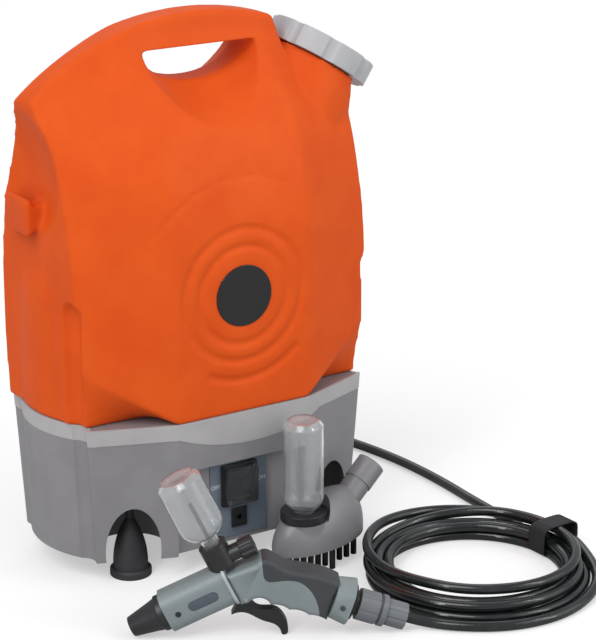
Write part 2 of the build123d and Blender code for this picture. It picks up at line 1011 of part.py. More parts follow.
def make_motor():
    """The motor's can and the cradle under its far end."""
    can = rod(shaft_plane(motor_x), motor_radius, motor_length)
    can = fillet(can.edges().sort_by(Axis.X)[-1], 3)
    high = shaft_z - tray_top
    x = motor_x + motor_length - 16
    cradle = block(x, pump_y, tray_top + high / 2, 10, 2 * motor_radius - 8, high)
    return can + cradle - rod(shaft_plane(motor_x - 1), shaft_radius + 0.6, motor_length - 7)


def make_shaft():
    """Motor shaft with the cam that drives the diaphragm."""
    start = pump_x + pump_wall + 3
    shaft = rod(shaft_plane(start), shaft_radius, motor_x + motor_length - 12 - start)
    cam = Plane((start + 3, pump_y + cam_offset, shaft_z), x_dir=(0, 1, 0), z_dir=(1, 0, 0))
    return shaft + rod(cam, cam_radius, cam_width)


def make_pressure_switch():
    """The switch that stops the motor when the trigger is let go."""
    x = pump_x + pump_length / 2
    front = pump_y - pump_size / 2
    reach = pressure_switch_length
    body = rod(facing(x, front, shaft_z, (0, -1, 0)), pressure_switch_radius, reach)
    for dx in (-4, 4):
        body += block(x + dx, front - reach - 3, shaft_z, 0.8, 6, 5)
    return body


def make_board():
    """The charging board with three of its parts."""
    z = tray_top + board_height / 2
    board = block(board_x, board_y, z, board_width, board_thickness, board_height)
    for dx in (-18, 0, 16):
        board += block(board_x + dx, board_y + 5, z - 4, 9, 10 - board_thickness, 12)
    return board


def make_fuse():
    """The fuse holder on the shelf."""
    base = block(fuse_x, 0, tray_top + 7, fuse_width, 12, 14)
    return base + block(fuse_x, 0, tray_top + 17, 19, 5, 6)


def make_outlet():
    """The nylon fitting through the tank's floor, with a flange inside and a barb below."""
    floor = seam_height + tank_wall
    low = housing_top - 10
    fit = rod(Plane((outlet_x, outlet_y, low)), outlet_radius, floor - low + 8)
    fit += rod(Plane((outlet_x, outlet_y, floor)), outlet_flange_radius, outlet_flange_thickness)
    fit += rod(Plane((outlet_x, outlet_y, low - 8)), port_radius, 9)
    return fit - rod(Plane((outlet_x, outlet_y, low - 20)), outlet_bore, 60)


def make_filter():
    """The slotted strainer over the outlet."""
    low = seam_height + tank_wall + outlet_flange_thickness
    seat = Plane((outlet_x, outlet_y, low))
    cage = pipe(seat, filter_radius, filter_radius - 1.5, filter_height)
    slot = Box(2 * filter_radius + 2, 2.4, filter_height - 8)
    for i in range(4):
        cage -= Location((outlet_x, outlet_y, low + filter_height / 2), (0, 0, 45 * i)) * slot
    return cage + rod(Plane((outlet_x, outlet_y, low + filter_height)), filter_radius, 2)


def bent_tube(points, radii, radius, bore):
    """A round hose along straight runs and tangent arcs."""
    path = FilletPolyline(*points, radius=radii)
    start = Plane(points[0], z_dir=Vector(*points[1]) - Vector(*points[0]))
    section = Circle(radius) - Circle(bore) if bore else Circle(radius)
    return sweep(start * section, path=path)


def make_suction_hose():
    """From the barb under the tank to the pump's suction port."""
    top = (outlet_x, outlet_y, housing_top - 10)
    corner = (outlet_x, outlet_y, shaft_z)
    end = (pump_x, suction_y, shaft_z)
    return bent_tube([top, corner, end], 12, inner_hose_radius, port_radius)


def make_delivery_hose():
    """From the pump's delivery port, down beside the battery, to the hose outlet."""
    points = [
        (delivery_x, pump_y + pump_size / 2, shaft_z),
        (delivery_x, delivery_y, shaft_z),
        (gland_x, delivery_y, shaft_z),
        (gland_x, delivery_y, gland_z),
        (gland_x, rear_wall(gland_z) - gland_thread_length, gland_z),
    ]
    return bent_tube(points, [9, 14, 9], inner_hose_radius - 1, port_radius)


# Hose outlet at the back of the base

def make_gland():
    """A nylon gland with a tapered nose, screwed through the rear wall."""
    wall = rear_wall(gland_z) + 0.9
    outward = facing(gland_x, wall, gland_z, (0, 1, 0))
    inward = facing(gland_x, wall, gland_z, (0, -1, 0))
    body = rod(outward, gland_flange_radius, gland_flange_thickness)
    root = wall + gland_flange_thickness
    nose = [
        facing(gland_x, root, gland_z, (0, 1, 0)) * Circle(12),
        facing(gland_x, root + gland_nose, gland_z, (0, 1, 0)) * Circle(hose_radius + 1.5),
    ]
    body += loft(nose)
    body += rod(inward, gland_thread_radius, gland_thread_length + 0.9)
    return body + rod(inward, port_radius, gland_thread_length + gland_barb)


def make_gland_nut():
    """The nut that holds the gland from inside."""
    wall = rear_wall(gland_z - gland_nut_radius) - base_wall - gap
    inward = facing(gland_x, wall, gland_z, (0, -1, 0))
    nut = extrude(inward * RegularPolygon(gland_nut_radius, 6), amount=gland_nut_thickness)
    return nut - rod(inward, gland_thread_radius, gland_nut_thickness)


# Delivery hose: a lead from the machine, a coil, and a tail to the gun

def bend_radii(points):
    """As large an arc at each corner as its two runs allow."""
    radii = []
    for a, b, c in zip(points, points[1:], points[2:]):
        before = Vector(*b) - Vector(*a)
        after = Vector(*c) - Vector(*b)
        half_turn = radians(before.get_angle(after)) / 2
        radii.append(0.45 * min(before.length, after.length) / tan(half_turn))
    return radii


gland_tip_y = rear_wall(gland_z) + 0.9 + gland_flange_thickness + gland_nose
lead_route = [
    (gland_x, gland_tip_y, gland_z),
    (gland_x, 158, gland_z),
    (64, 198, 42),
    (94, 232, 18),
    (145, 249, 6),
    (198, 236, 5),
    (234, 196, 5),
    (254, 146, 5),
    (270, 92, 5),
    (281, 30, 5),
    (284, -36, 5),
    (281, -100, 5),
    (281, -156, 7),
    (273, -206, 13),
]


def gun_point(s, z):
    """From the gun's middle plane to the shared frame."""
    turn = radians(gun_turn_deg)
    return (gun_x + s * cos(turn), gun_y + s * sin(turn), z)


def tail_point(along):
    """A point on the axis of the gun's tail, in the gun's middle plane."""
    tilt = radians(tail_tilt_deg)
    return (tail_start[0] + along * cos(tilt), tail_start[1] - along * sin(tilt))


nut_end = connector_end + nut_length
tail_route = [
    gun_point(*tail_point(nut_end)),
    gun_point(*tail_point(nut_end + 21)),
    (97, -335, 5),
    (131, -355.5, 5),
    (170, -363.5, 5),
    (208, -359, 6),
    (242, -341, 9),
    (268, -313, 14),
    (279, -278, 18),
]


def make_cord(route):
    """One loose stretch of the hose."""
    return bent_tube(route, bend_radii(route), hose_radius, 0)


def coil_section(grow):
    """The coil's cross-section, as far right of its axis as its mean radius."""
    wide = coil_outer_radius - coil_inner_radius + 2 * grow
    mean = (coil_outer_radius + coil_inner_radius) / 2
    high = coil_height + 2 * grow
    section = Pos(mean, coil_height / 2) * RectangleRounded(wide, high, coil_corner + grow)
    return Plane.XZ * section


def make_coil():
    """The outer shape of the coiled hose."""
    ring = revolve(coil_section(0), axis=Axis.Z)
    return Location((coil_centre_x, coil_centre_y, 0)) * ring


def make_tie():
    """The fabric strap wrapped round the coil."""
    mean = (coil_outer_radius + coil_inner_radius) / 2
    half_angle = degrees(tie_width / 2 / mean)
    strap = coil_section(tie_thickness) - coil_section(0)
    floor = Pos(mean, -tie_thickness) * Rectangle(200, 2 * tie_thickness)
    strap -= Plane.XZ * floor
    band = revolve(strap, axis=Axis.Z, revolution_arc=2 * half_angle)
    turn = tie_angle_deg - half_angle
    return Location((coil_centre_x, coil_centre_y, 0), (0, 0, turn)) * band


# Trigger gun, drawn lying along X with its side towards -Y, then turned into place

gun_place = Location((gun_x, gun_y, 0), (0, 0, gun_turn_deg))
barrel_lean = radians(barrel_tilt_deg)

# The grip's top line, and its underside from the tail to the trigger
crown_line = [(110.0, 75.0), (121.0, 79.5), (134.0, 72.0), (158.0, 65.0)]
finger_line = [
    (167.5, 21.2),
    (159.0, 22.6),
    (150.0, 27.6),
    (141.0, 28.4),
    (132.5, 33.2),
    (124.0, 34.0),
    (114.0, 41.0),
    (104.0, 36.5),
]


def barrel_point(along, up):
    """A point by its distance along the barrel's axis and above it."""
    s = barrel_start[0] + along * cos(barrel_lean) - up * sin(barrel_lean)
    z = barrel_start[1] + along * sin(barrel_lean) + up * cos(barrel_lean)
    return (s, z)


def barrel_plane(along, up):
    """The plane across the barrel, facing the grip."""
    s, z = barrel_point(along, up)
    forward = (cos(barrel_lean), 0, sin(barrel_lean))
    return Plane((s, 0, z), x_dir=(0, 1, 0), z_dir=forward)


def bottle_plane(up):
    """The plane across the detergent bottle, facing away from the barrel."""
    s, z = barrel_point(bottle_station, up)
    outward = (-sin(barrel_lean), 0, cos(barrel_lean))
    return Plane((s, 0, z), x_dir=(0, 1, 0), z_dir=outward)


def tail_plane(along):
    """The plane across the tail's axis, facing the hose."""
    s, z = tail_point(along)
    tilt = radians(tail_tilt_deg)
    return Plane((s, 0, z), x_dir=(0, 1, 0), z_dir=(cos(tilt), 0, -sin(tilt)))


def cross_bar(s, z, radius, width):
    """A round bar across the gun's middle plane."""
    return rod(facing(s, width / 2, z, (0, -1, 0)), radius, width)


def trigger_form():
    """The trigger's lever with its curled tip, its hub and the arm that pushes the valve."""
    with BuildSketch(Plane.XZ) as lever:
        with BuildLine():
            lower = Spline((88, 21.5), (102, 23), (117, 15), (128.5, 10.5), (134.2, 1.2))
            ThreePointArc((134.2, 1.2), (137.5, 0.2), (140.2, 3.4))
            upper = Spline((140.2, 3.4), (136.6, 17.5), (128.0, 25.5), (116.4, 26.4), (107, 33))
            Polyline(upper @ 1, (105.5, 40), (96.5, 40), (92, 30), lower @ 0)
        make_face()
    s, z = trigger_pivot
    arm_s = s - valve_arm * sin(barrel_lean)
    arm_z = z + valve_arm * cos(barrel_lean)
    shape = extrude(lever.sketch, amount=trigger_width / 2, both=True)
    shape += cross_bar(s, z, trigger_hub_radius, trigger_width)
    shape += cross_bar(arm_s, arm_z, valve_arm_radius, trigger_width)
    link = Location(((s + arm_s) / 2, 0, (z + arm_z) / 2), (0, -barrel_tilt_deg, 0))
    return shape + link * Box(2 * valve_arm_radius, trigger_width, valve_arm)


def trigger_room():
    """The slot in the grip and the barrel that the trigger's hub and arm turn in."""
    s, z = trigger_pivot
    radius = valve_arm + valve_arm_radius + trigger_slot_clearance
    return cross_bar(s, z, radius, trigger_width + 2 * trigger_slot_clearance)


def grip_outline(inset):
    """The grip's side view, with a hump behind the knob and three finger grooves."""
    low_front = barrel_point(barrel_length, -20.5)
    high_front = barrel_point(barrel_length, 12.0)
    tilt = radians(tail_tilt_deg)
    ds = (tail_radius - inset) * sin(tilt)
    dz = (tail_radius - inset) * cos(tilt)
    top_end = (tail_start[0] + ds, tail_start[1] + dz)
    low_end = (tail_start[0] - ds, tail_start[1] - dz)
    under = [low_end] + [(s, z + inset) for s, z in finger_line]
    with BuildSketch(Plane.XZ) as outline:
        with BuildLine():
            top = Spline(*[(s, z - inset) for s, z in crown_line], top_end)
            Line(top_end, low_end)
            for i in range(0, len(finger_line), 2):
                bite = ThreePointArc(*under[i : i + 3])
            Polyline(bite @ 1, low_front, high_front, top @ 0)
        make_face()
    return outline.sketch


def soft_zone():
    """The part of the grip that the dark soft skin covers."""
    with BuildPart() as zone:
        with BuildSketch(Plane.XZ):
            with BuildLine():
                edge = Spline((117, 68), (121, 59), (134, 59), (151.5, 56.5), (163, 44), (167.5, 15))
                Polyline(edge @ 1, (167.5, 0), (230, 0), (230, 120), (112, 120), edge @ 0)
            make_face()
        extrude(amount=grip_thickness, both=True)
    return zone.part


def stem_start():
    """Where the valve's stem ends against the trigger's arm: along and above the barrel."""
    ds = trigger_pivot[0] - barrel_start[0]
    dz = trigger_pivot[1] - barrel_start[1]
    along = ds * cos(barrel_lean) + dz * sin(barrel_lean)
    up = dz * cos(barrel_lean) - ds * sin(barrel_lean) + valve_arm
    return along - valve_arm_radius - gap, up


def stem_plane(back):
    """The plane across the valve's stem, facing the nozzle."""
    along, up = stem_start()
    s, z = barrel_point(along - back, up)
    return Plane((s, 0, z), x_dir=(0, 1, 0), z_dir=(-cos(barrel_lean), 0, -sin(barrel_lean)))


def stem_bore():
    """The stem's bore, longer than the stem by its travel."""
    travel = valve_arm * radians(trigger_swing_deg)
    return rod(stem_plane(-1), stem_radius + running_clearance, stem_length + travel + 2)


def make_grip():
    """The grip's hard body and the soft skin let into it."""
    full = extrude(grip_outline(0), amount=grip_thickness / 2, both=True)
    rims = full.edges().filter_by(lambda e: abs(abs(e.center().Y) - grip_thickness / 2) < 0.1)
    full = fillet(rims, grip_round)
    core_half = grip_thickness / 2 - grip_skin
    core = extrude(grip_outline(grip_skin), amount=core_half, both=True)
    soft = (full & soft_zone()) - core
    hard = full - soft
    s, z = trigger_pivot
    hard -= cross_bar(s, z, trigger_pin_radius, 2 * grip_thickness)
    socket = rod(tail_plane(-adapter_depth), adapter_radius, adapter_depth + 5)
    return hard - trigger_room() - socket, soft - socket


def make_barrel():
    """The barrel: a rounded block with a spigot for the nozzle and a flat pocket each side."""
    section = RectangleRounded(barrel_width, barrel_height, barrel_corner)
    barrel = extrude(barrel_plane(gap, 0) * section, amount=barrel_length - gap)
    barrel += rod(barrel_plane(gap - spigot_length, 0), spigot_radius, spigot_length + 1)
    barrel -= rod(barrel_plane(-spigot_length - 5, 0), nozzle_bore, spigot_length + 30)
    for side in (-1, 1):
        s, z = barrel_point(38, 0)
        pocket = Location((s, side * barrel_width / 2, z), (0, -barrel_tilt_deg, 0))
        slot = Rot(90, 0, 0) * SlotOverall(30, 10)
        barrel -= pocket * extrude(slot, amount=1.0, both=True)
    return barrel - stem_bore() - trigger_room()


def make_nozzle():
    """The nozzle that turns to open the spray from a jet to a cone."""
    tip = -nozzle_length
    seat = spigot_radius + running_clearance
    with BuildSketch(Plane.XZ) as half:
        with BuildLine():
            Polyline(
                (nozzle_bore, tip + 2),
                (nozzle_bore + 2, tip),
                (nozzle_tip_radius, tip),
                (nozzle_radius - 3.5, -nozzle_collar - 8),
                (nozzle_radius - 1.5, -nozzle_collar),
                (nozzle_radius, -nozzle_collar),
                (nozzle_radius, 0),
                (seat, 0),
                (seat, -spigot_length - gap),
                (nozzle_bore, -spigot_length - gap),
                (nozzle_bore, tip + 2),
            )
        make_face()
    return barrel_plane(0, 0).location * revolve(half.sketch, axis=Axis.Z)


def make_tail_ring():
    """The flared ring that closes the grip's end."""
    near = tail_plane(0) * Circle(tail_radius)
    far = tail_plane(tail_length) * Circle(tail_flare)
    ring = loft([near, far]) & block(190, 0, 40, 200, grip_thickness + 8, 200)
    return ring - rod(tail_plane(-1), adapter_radius, tail_length + 5)


def make_tail_seal():
    """The black ring behind the tail."""
    return pipe(tail_plane(tail_length), tail_seal_radius, adapter_radius, tail_seal_thickness)


def make_adapter():
    """The male half of the quick connector, screwed into the grip."""
    start = tail_length + tail_seal_thickness
    stop = connector_start - gap
    body = rod(tail_plane(-adapter_depth), adapter_radius, adapter_depth + stop + adapter_reach)
    body += rod(tail_plane(start), adapter_shoulder_radius, stop - start)
    return body - rod(tail_plane(0), nozzle_bore, stop + adapter_reach + 1)


def make_connector():
    """The female half: a tube with a flange that the nut screws against."""
    bore = adapter_radius + running_clearance
    length = connector_end - connector_start
    core = pipe(tail_plane(connector_start), connector_core_radius, bore, length)
    flange_start = connector_end - connector_flange
    core += pipe(tail_plane(flange_start), connector_radius, bore, connector_flange)
    return core + rod(tail_plane(connector_end - 3), connector_core_radius, 3)


def make_connector_collar():
    """The sprung sleeve that is pulled back to free the gun."""
    length = connector_end - connector_flange - collar_travel - connector_start - gap
    sleeve = Circle(connector_radius)
    for i in range(6):
        sleeve -= Rot(0, 0, 60 * i) * (Pos(connector_radius + 3.2, 0) * Circle(4))
    bore = Circle(connector_core_radius + running_clearance)
    return extrude(tail_plane(connector_start) * (sleeve - bore), amount=length)


def make_nut():
    """The ribbed nut that clamps the hose."""
    shape = Circle(nut_radius)
    for i in range(10):
        shape -= Rot(0, 0, 36 * i) * (Pos(nut_radius + 1.2, 0) * Circle(2))
    return extrude(tail_plane(connector_end) * shape, amount=nut_length)


def make_trigger():
    """The trigger, bored for its pin."""
    s, z = trigger_pivot
    bore = trigger_pin_radius + running_clearance
    return trigger_form() - cross_bar(s, z, bore, 2 * trigger_width)


def make_trigger_pin():
    """The pin across the grip that the trigger turns on."""
    s, z = trigger_pivot
    return cross_bar(s, z, trigger_pin_radius, grip_thickness - 4)


def make_dose_body():
    """The detergent valve on the barrel: a cup for the bottle and a bored body behind."""
    low = barrel_height / 2
    cup = rod(bottle_plane(low - 2), dose_cap_radius, dose_cap_reach - low + 2)
    length = dose_body_end - bottle_station
    body = rod(barrel_plane(bottle_station, dose_body_reach), dose_body_radius, length)
    valve = cup + body - rod(bottle_plane(dose_cap_floor), bottle_neck_radius + gap, 40)
    spigot_plane = barrel_plane(dose_body_end - 1, dose_body_reach)
    valve += rod(spigot_plane, dose_spigot_radius, dose_spigot_length + 1)
    valve += rod(bottle_plane(dose_cap_floor - 1), dip_tube_radius, dip_tube_length)
    section = RectangleRounded(barrel_width + 1, barrel_height, barrel_corner)
    return valve - extrude(barrel_plane(gap, 0) * section, amount=barrel_length + 20)


def make_dose_knob():
    """The fluted knob that sets the detergent dose."""
    shape = Circle(dose_knob_radius)
    for i in range(8):
        shape -= Rot(0, 0, 45 * i) * (Pos(dose_knob_radius + 1.8, 0) * Circle(3))
    seat = barrel_plane(dose_body_end + gap, dose_body_reach)
    bore = dose_spigot_radius + running_clearance
    hole = rod(barrel_plane(dose_body_end, dose_body_reach), bore, dose_spigot_length + 1)
    return extrude(seat * shape, amount=dose_knob_length) - hole


def bottle_outline(neck_radius, radius, neck, shoulder, base, inset):
    """Half of a bottle's section: neck down, rounded shoulder, pushed-in base on top."""
    mouth = neck - 1 if inset else neck
    floor = base - inset
    side = radius - inset
    throat = (neck_radius - inset, shoulder - 9 + inset / 2)
    mid = (neck_radius + (radius - neck_radius) * 0.72 - inset * 0.7, shoulder - 3.5)
    with BuildSketch(Plane.XZ) as half:
        with BuildLine():
            bend = ThreePointArc(throat, mid, (side, shoulder + 7))
            Polyline(
                bend @ 1,
                (side, floor - 5),
                (side - 4, floor),
                (radius * 0.6, floor),
                (0, floor - 3.5),
                (0, mouth),
                (neck_radius - inset, mouth),
                bend @ 0,
            )
        make_face()
    return revolve(half.sketch, axis=Axis.Z)


def bottle_shell(plane, neck_radius, radius, neck, shoulder, base):
    """A round hollow bottle that stands on its neck."""
    outer = bottle_outline(neck_radius, radius, neck, shoulder, base, 0)
    inner = bottle_outline(neck_radius, radius, neck, shoulder, base, bottle_wall)
    return plane.location * (outer - inner)


def make_gun_bottle():
    """The clear detergent bottle on the gun."""
    low = barrel_height / 2
    return bottle_shell(
        bottle_plane(low),
        bottle_neck_radius,
        bottle_radius,
        bottle_neck_reach - low,
        bottle_shoulder_reach - low,
        bottle_base_reach - low,
    )


# Wash brush, drawn round its own middle with its length along X, then turned into place

brush_place = Location((brush_x, brush_y, 0), (0, 0, brush_turn_deg))

# Brush dome: share of its rise, loss of half length, loss of half depth, shift to the neck
dome_steps = [(0.0, 0, 0, 0), (0.36, 4, 2, 2), (0.70, 14, 7, 6), (0.90, 26, 13, 11), (1.0, 37, 19, 15)]


def brush_dome():
    """The brush's back: an upright skirt and a dome that is highest towards the neck."""
    sections = [Plane((0, 0, brush_skirt_bottom)) * Ellipse(brush_half_length, brush_half_depth)]
    for share, length_loss, depth_loss, shift in dome_steps:
        z = brush_skirt_top + share * (brush_top - brush_skirt_top)
        outline = Ellipse(brush_half_length - length_loss, brush_half_depth - depth_loss)
        sections.append(Plane((shift, 0, z)) * outline)
    return loft(sections)


def neck_tube_plane(along):
    """The plane across the brush's hollow neck, facing outwards."""
    tilt = radians(neck_tube_tilt_deg)
    x = neck_tube_offset + along * cos(tilt)
    z = neck_tube_base + along * sin(tilt)
    return Plane((x, 0, z), x_dir=(0, 1, 0), z_dir=(cos(tilt), 0, sin(tilt)))


def plate_outline(clearance):
    """The bristle plate's outline inside the skirt."""
    fit = brush_wall + clearance
    return Plane((0, 0, brush_skirt_bottom)) * Ellipse(brush_half_length - fit, brush_half_depth - fit)


def make_brush_head():
    """The moulded brush: dome, seat for the bottle's collar, and neck for the lance."""
    head = brush_dome()
    head -= rod(Plane((collar_offset, 0, collar_seat)), seat_radius + 2, 60)
    seat_height = collar_seat - brush_skirt_top
    head += rod(Plane((collar_offset, 0, brush_skirt_top)), seat_radius, seat_height)
    head += rod(neck_tube_plane(0), neck_tube_radius, neck_tube_length)
    ring_start = neck_tube_length - neck_ring_length
    head += rod(neck_tube_plane(ring_start), neck_tube_radius + neck_ring_step, neck_ring_length)
    head -= rod(neck_tube_plane(neck_tube_length - neck_tube_depth), neck_tube_bore, 60)
    return head - extrude(plate_outline(0), amount=brush_plate_thickness)


def make_brush_plate():
    """The bristle plate let into the underside."""
    return extrude(plate_outline(cover_clearance), amount=brush_plate_thickness)


def make_bristles():
    """Rows of bristle tufts from the plate to the floor."""
    tufts = []
    half_a = brush_half_length - brush_wall - 5
    half_b = brush_half_depth - brush_wall - 4
    rows = int(half_b / tuft_spacing)
    columns = int(half_a / tuft_spacing)
    for i in range(-columns, columns + 1):
        for j in range(-rows, rows + 1):
            x = i * tuft_spacing
            y = j * tuft_spacing
            if (x / half_a) ** 2 + (y / half_b) ** 2 <= 1.02:
                outline = Pos(x, y) * RegularPolygon(tuft_radius, 6)
                tufts.append(extrude(outline, amount=brush_skirt_bottom))
    return Compound(children=tufts)


def make_brush_collar():
    """The black threaded collar that the brush's bottle screws into."""
    body = rod(Plane((collar_offset, 0, collar_seat)), collar_radius, collar_height)
    bore = brush_bottle_neck_radius + gap
    return body - rod(Plane((collar_offset, 0, collar_seat + 2)), bore, 30)


def make_brush_bottle():
    """The clear bottle on the brush."""
    return bottle_shell(
        Plane((collar_offset, 0, 0)),
        brush_bottle_neck_radius,
        brush_bottle_radius,
        collar_seat + 2 + gap,
        collar_seat + collar_height + brush_bottle_shoulder,
        brush_bottle_top,
    )


# Every piece by its name

keep("tank", make_tank())
keep("badge_disc", make_badge())
keep("tank_cap", make_cap())
keep("cap_gasket", make_gasket())
trim_band = make_band()
keep("trim_band", trim_band)
keep("base_housing", make_housing(trim_band))
keep("bottom_cover", make_bottom_cover())
keep("pump_tray", make_tray())
keep("feet", Compound(children=[make_foot(x, y) for x, y in corners()]))
keep("panel_label", make_label())
keep("switch_bezel", make_bezel())
keep("switch_rocker", make_rocker())
keep("switch_boot", make_boot())
keep("charge_socket", make_socket())
keep("battery", make_battery())
keep("battery_pad", make_pad())
keep("pump_head", make_pump())
keep("shaft_bearing", make_bearing())
keep("pump_motor", make_motor())
keep("motor_shaft", make_shaft())
keep("pressure_switch", make_pressure_switch())
keep("charge_board", make_board())
keep("fuse_holder", make_fuse())
keep("tank_outlet", make_outlet())
keep("suction_filter", make_filter())
keep("suction_hose", make_suction_hose())
keep("delivery_hose", make_delivery_hose())
keep("hose_gland", make_gland())
keep("gland_nut", make_gland_nut())
keep("hose_lead", make_cord(lead_route))
keep("hose_coil", make_coil())
keep("hose_tail", make_cord(tail_route))
keep("hose_tie", make_tie())
keep("hose_connector", gun_place * make_connector())
keep("connector_collar", gun_place * make_connector_collar())
keep("hose_nut", gun_place * make_nut())
grip_body, grip_cover = make_grip()
keep("gun_grip", gun_place * grip_body)
keep("grip_overmould", gun_place * grip_cover)
keep("gun_barrel", gun_place * make_barrel())
keep("spray_nozzle", gun_place * make_nozzle())
keep("tail_ring", gun_place * make_tail_ring())
keep("tail_seal", gun_place * make_tail_seal())
keep("gun_adapter", gun_place * make_adapter())
keep("gun_trigger", gun_place * make_trigger())
keep("trigger_pin", gun_place * make_trigger_pin())
keep("valve_stem", gun_place * rod(stem_plane(0), stem_radius, stem_length))
keep("dose_valve", gun_place * make_dose_body())
keep("dose_knob", gun_place * make_dose_knob())
keep("gun_bottle", gun_place * make_gun_bottle())
keep("brush_head", brush_place * make_brush_head())
keep("brush_plate", brush_place * make_brush_plate())
keep("brush_bristles", brush_place * make_bristles())
keep("brush_collar", brush_place * make_brush_collar())
keep("brush_bottle", brush_place * make_brush_bottle())

os.makedirs("parts", exist_ok=True)
for node, shape in parts.items():
    export_step(shape, f"parts/{node}.step")

for title, route in (("lead", lead_route), ("tail", tail_route)):
    print(title, "arc radii, mm:", [round(r) for r in bend_radii(route)])
    runs = [(Vector(*b) - Vector(*a)).length for a, b in zip(route, route[1:])]
    print(title, "runs, mm:", [round(r) for r in runs])
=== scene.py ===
from math import copysign, cos, pi, radians, sin

import bmesh
import bpy
from mathutils import Matrix, Vector


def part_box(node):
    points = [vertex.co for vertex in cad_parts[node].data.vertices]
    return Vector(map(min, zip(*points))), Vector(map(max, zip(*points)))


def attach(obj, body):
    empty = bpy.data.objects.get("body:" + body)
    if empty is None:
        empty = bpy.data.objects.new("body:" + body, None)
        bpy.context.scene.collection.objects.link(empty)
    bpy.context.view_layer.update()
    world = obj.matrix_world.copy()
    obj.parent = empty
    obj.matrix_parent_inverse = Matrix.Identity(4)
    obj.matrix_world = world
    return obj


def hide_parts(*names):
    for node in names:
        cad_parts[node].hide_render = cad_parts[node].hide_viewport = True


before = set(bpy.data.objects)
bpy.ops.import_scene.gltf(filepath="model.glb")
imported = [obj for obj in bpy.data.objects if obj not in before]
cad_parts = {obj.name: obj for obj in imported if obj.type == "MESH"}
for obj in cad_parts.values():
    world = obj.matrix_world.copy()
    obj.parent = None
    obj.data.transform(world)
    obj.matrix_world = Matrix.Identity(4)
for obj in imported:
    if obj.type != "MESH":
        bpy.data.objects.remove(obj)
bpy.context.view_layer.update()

# Camera. It stands to the left of the machine's front and looks a little down on it,
# from far enough away for the upright edges to stay nearly parallel.

photo_height = 640
lens_in_pixels = 2250
sensor = 36
camera_place = (-1.0460, -1.8406, 0.9348)
from_left, from_above = radians(32.5), radians(18.5)


def add_object(name, data):
    """A new object in the scene, at the origin."""
    made = bpy.data.objects.new(name, data)
    bpy.context.collection.objects.link(made)
    return made


camera = add_object("camera", bpy.data.cameras.new("camera"))
bpy.context.scene.camera = camera
camera.location = camera_place
sight = Vector(
    (sin(from_left) * cos(from_above), cos(from_left) * cos(from_above), -sin(from_above))
)
camera.rotation_mode = "QUATERNION"
camera.rotation_quaternion = sight.to_track_quat("-Z", "Y")
camera.data.sensor_width = sensor
camera.data.lens = sensor * lens_in_pixels / photo_height

# Studio. A plain pale floor under a plain pale sky, with one broad sun high on the left,
# a weaker one from the right and one from behind, all soft, and two tall strip lamps.


def srgb(text):
    """A hex colour as the linear values that a shader takes."""
    values = [int(text[i : i + 2], 16) / 255 for i in (1, 3, 5)]
    return [v / 12.92 if v <= 0.04045 else ((v + 0.055) / 1.055) ** 2.4 for v in values] + [1]


def set_inputs(node, inputs):
    """Put values on a node's inputs, or link other nodes' outputs to them."""
    for name, value in inputs.items():
        if isinstance(value, bpy.types.NodeSocket):
            node.id_data.links.new(value, node.inputs[name])
        else:
            node.inputs[name].default_value = value


def add_node(tree, kind, inputs=None, **settings):
    """A shader node with its settings, and with values or links on its inputs."""
    node = tree.nodes.new(kind)
    for name, value in settings.items():
        setattr(node, name, value)
    set_inputs(node, inputs or {})
    return node


def background_seen(tree):
    """1 for the rays that show the background as it is, 0 for those that light things."""
    ray = add_node(tree, "ShaderNodeLightPath")
    seen = add_node(
        tree, "ShaderNodeMath",
        {0: ray.outputs["Is Camera Ray"], 1: ray.outputs["Is Transmission Ray"]},
        operation="MAXIMUM",
    )
    return seen.outputs[0]


def add_lamp(name, kind, towards):
    """A lamp whose light comes from this direction."""
    lamp = add_object(name, bpy.data.lights.new(name, kind))
    lamp.rotation_mode = "QUATERNION"
    lamp.rotation_quaternion = towards.to_track_quat("Z", "Y")
    return lamp


def new_mesh(name, bm):
    """The mesh that a finished bmesh leaves."""
    mesh = bpy.data.meshes.new(name)
    bm.to_mesh(mesh)
    bm.free()
    return mesh


white = (1, 1, 1, 1)
bpy.context.scene.view_settings.view_transform = "Standard"
world = bpy.data.worlds.new("studio_sky")
bpy.context.scene.world = world
world.use_nodes = True
tree = world.node_tree
tree.nodes.clear()
seen = background_seen(tree)
lit = add_node(tree, "ShaderNodeBackground", {"Color": srgb("#F4F5F8"), "Strength": 0.62})
plain = add_node(tree, "ShaderNodeBackground", {"Color": white, "Strength": 1.0})
both = add_node(
    tree, "ShaderNodeMixShader", {0: seen, 1: lit.outputs[0], 2: plain.outputs[0]}
)
add_node(tree, "ShaderNodeOutputWorld", {"Surface": both.outputs[0]})

# Each sun's angle round from the front, its height, both in degrees, its strength and
# how many degrees of sky it fills
for name, angle, height, strength, softness in (
    ("key_lamp", -62, 52, 1.15, 34),
    ("fill_lamp", 42, 30, 0.74, 60),
    ("back_lamp", 160, 48, 0.40, 40),
):
    side, up = radians(angle), radians(height)
    sun = add_lamp(name, "SUN", Vector((sin(side) * cos(up), -cos(side) * cos(up), sin(up))))
    sun.data.energy = strength
    sun.data.angle = radians(softness)

# The strip lamps draw the bright lines along hose, bottles and gun
strip_width, strip_height = 0.10, 1.4
lit_middle = Vector((0, -0.1, 0.1))
for name, place, power in (
    ("left_strip", Vector((-1.5, -0.9, 0.9)), 7),
    ("right_strip", Vector((1.1, -1.6, 1.1)), 6),
):
    strip = add_lamp(name, "AREA", place - lit_middle)
    strip.location = place
    strip.data.shape = "RECTANGLE"
    strip.data.size = strip_width
    strip.data.size_y = strip_height
    strip.data.energy = power

